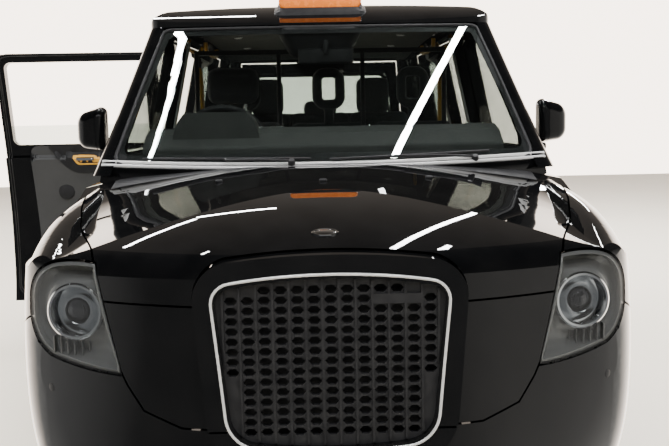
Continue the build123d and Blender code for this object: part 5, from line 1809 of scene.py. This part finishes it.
# %% Plates
def plate(name, centre, normal, width, height, finish, body):
    """A blank number plate with rounded corners, its raised rim and two screws."""
    way = Matrix.Rotation(math.atan2(normal.x, -normal.y), 3, "Z")
    sheet = soft_box((width, 0.003, height), centre, 0.0012, 1)
    bmesh.ops.rotate(sheet, cent=centre, matrix=way, verts=sheet.verts)
    piece(name, sheet, finish, body)
    ring = corners(rect(width / 2 - 0.006, height / 2 - 0.006), 0.010, 5, 0.08)
    line = [centre + way @ Vector((p.x, -0.0015, p.y)) for p in ring]
    bead(f"{name}_rim", line, 0.0022, finish, body, closed=True)
    behind = centre - normal * 0.0055
    holder = soft_box((width + 0.018, 0.008, height + 0.016), behind, 0.003, 2)
    bmesh.ops.rotate(holder, cent=behind, matrix=way, verts=holder.verts)
    piece(f"{name}_holder", holder, "black_trim", body)
    profile = ((0, 0.003), (0.004, 0.0027), (0.006, 0.0), (0, -0.001))
    screws = [
        turned(profile, centre + way @ Vector((width * share, -0.0015, 0)), normal, 20)
        for share in (-0.36, 0.36)
    ]
    piece(f"{name}_screws", merged(*screws), "plate_white", body)


PLATE = (0.520, 0.111)
spot = on_tail(0.0, 0.900)
plate("rear_plate", spot + Vector((0, 0.012, 0)), Vector((0, 1, 0)), *PLATE, "plate_yellow", "tailgate")
spot = lands(("front_bumper",), (0.0, -4, 0.365), (0, 1, 0))
plate("front_plate", spot + Vector((0, -0.014, 0)), Vector((0, -1, 0)), *PLATE, "plate_white", "body")
print("plates are on")

# %% [markdown]
# ## Tail lamps
# Each tail lamp shows a clear band and an amber band on the red, behind one smooth cover. A
# round red reflector sits below it in the bumper.

# %% Bands of the tail lamps
LAMP_BANDS = (("reversing", 0.815, 0.860, "clear_lens"), ("turning", 0.985, 1.035, "amber_lens"))
for side, sign in SIDES:
    for name, low_z, high_z, finish in LAMP_BANDS:
        inner, outer = sign * 0.730, sign * 0.815
        band = corners(((inner, low_z), (outer, low_z), (outer, high_z), (inner, high_z)), 0.010, 4, 0.02)
        ring = [lands(("tail_lamps",), (p.x, 4, p.y), (0, -1, 0), 0.0008) for p in band]
        mesh = bmesh.new()
        mesh.faces.new([mesh.verts.new(spot) for spot in ring if spot is not None])
        piece(f"{name}_lamp_{side}", thickened(mesh, (0, -0.003, 0)), finish, "body")
    start = (sign * 0.62, 4, 0.440)
    flush_disc(f"rear_reflector_{side}", start, (0, -1, 0), 0.034, "red_lens", "body", ("rear_bumper",))
print("the back is dressed:", len(made), "pieces")

# %% [markdown]
# ## The roof sign
# The sign is a rounded orange lens on a low dark base that flares out onto the roof. The
# base follows the roof, so its lower edge is pressed down onto it by rays. Its faces are bare.

# %% Sign
low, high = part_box("sign_lamp")
base_low, base_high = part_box("sign_base")
middle_y = (low.y + high.y) / 2
roof_front = lands(("roof",), (0, base_low.y, 2.2), (0, 0, -1))
lens_foot = max(roof_front.z + 0.016, low.z - 0.016)
lens = bmesh.new()
bmesh.ops.create_cube(lens, size=1.0)
bmesh.ops.scale(lens, vec=(high.x - low.x, high.y - low.y, high.z - lens_foot), verts=lens.verts)
upright = [edge for edge in lens.edges if abs(edge.verts[0].co.y - edge.verts[1].co.y) > 0.01]
bmesh.ops.bevel(lens, geom=upright, offset=0.034, segments=8, affect="EDGES", profile=0.5, material=-1)
across = [edge for edge in lens.edges if abs(edge.verts[0].co.y - edge.verts[1].co.y) < 0.001]
bmesh.ops.bevel(lens, geom=across, offset=0.012, segments=4, affect="EDGES", profile=0.5, material=-1)
bmesh.ops.translate(lens, vec=(0, middle_y, (high.z + lens_foot) / 2), verts=lens.verts)
piece("sign_lens", lens, "sign_orange", "body", ("sign_lamp",))
base = bmesh.new()
rows = []
for grow, height in ((0.024, None), (0.020, 0.004), (0.008, 0.010), (0.004, 0.022), (-0.030, 0.022)):
    half_x = high.x + grow
    half_y = (high.y - low.y) / 2 + grow
    ring = corners(rect(half_x, half_y), 0.034 + grow * 0.5, 6, 0.5)
    row = []
    for p in ring:
        x = max(min(p.x, base_high.x - 0.001), base_low.x + 0.001)
        y = max(min(middle_y + p.y, base_high.y - 0.001), base_low.y + 0.001)
        ground = lands(("roof",), (x, y, 2.2), (0, 0, -1))
        z = ground.z - 0.004 if height is None else max(ground.z, lens_foot - 0.016) + height
        row.append(base.verts.new((x, y, z)))
    rows.append(row)
for lower, upper in zip(rows, rows[1:]):
    for n in range(len(lower)):
        following = (n + 1) % len(lower)
        base.faces.new((lower[n], lower[following], upper[following], upper[n]))
base.faces.new(rows[-1])
base.faces.new(list(reversed(rows[0])))
piece("sign_foot", base, "black_trim", "body", ("sign_base",), smooth=50)
print("sign is on")

# %% [markdown] ## Pieces made

# %% Pieces made
print("pieces made:", len(made))
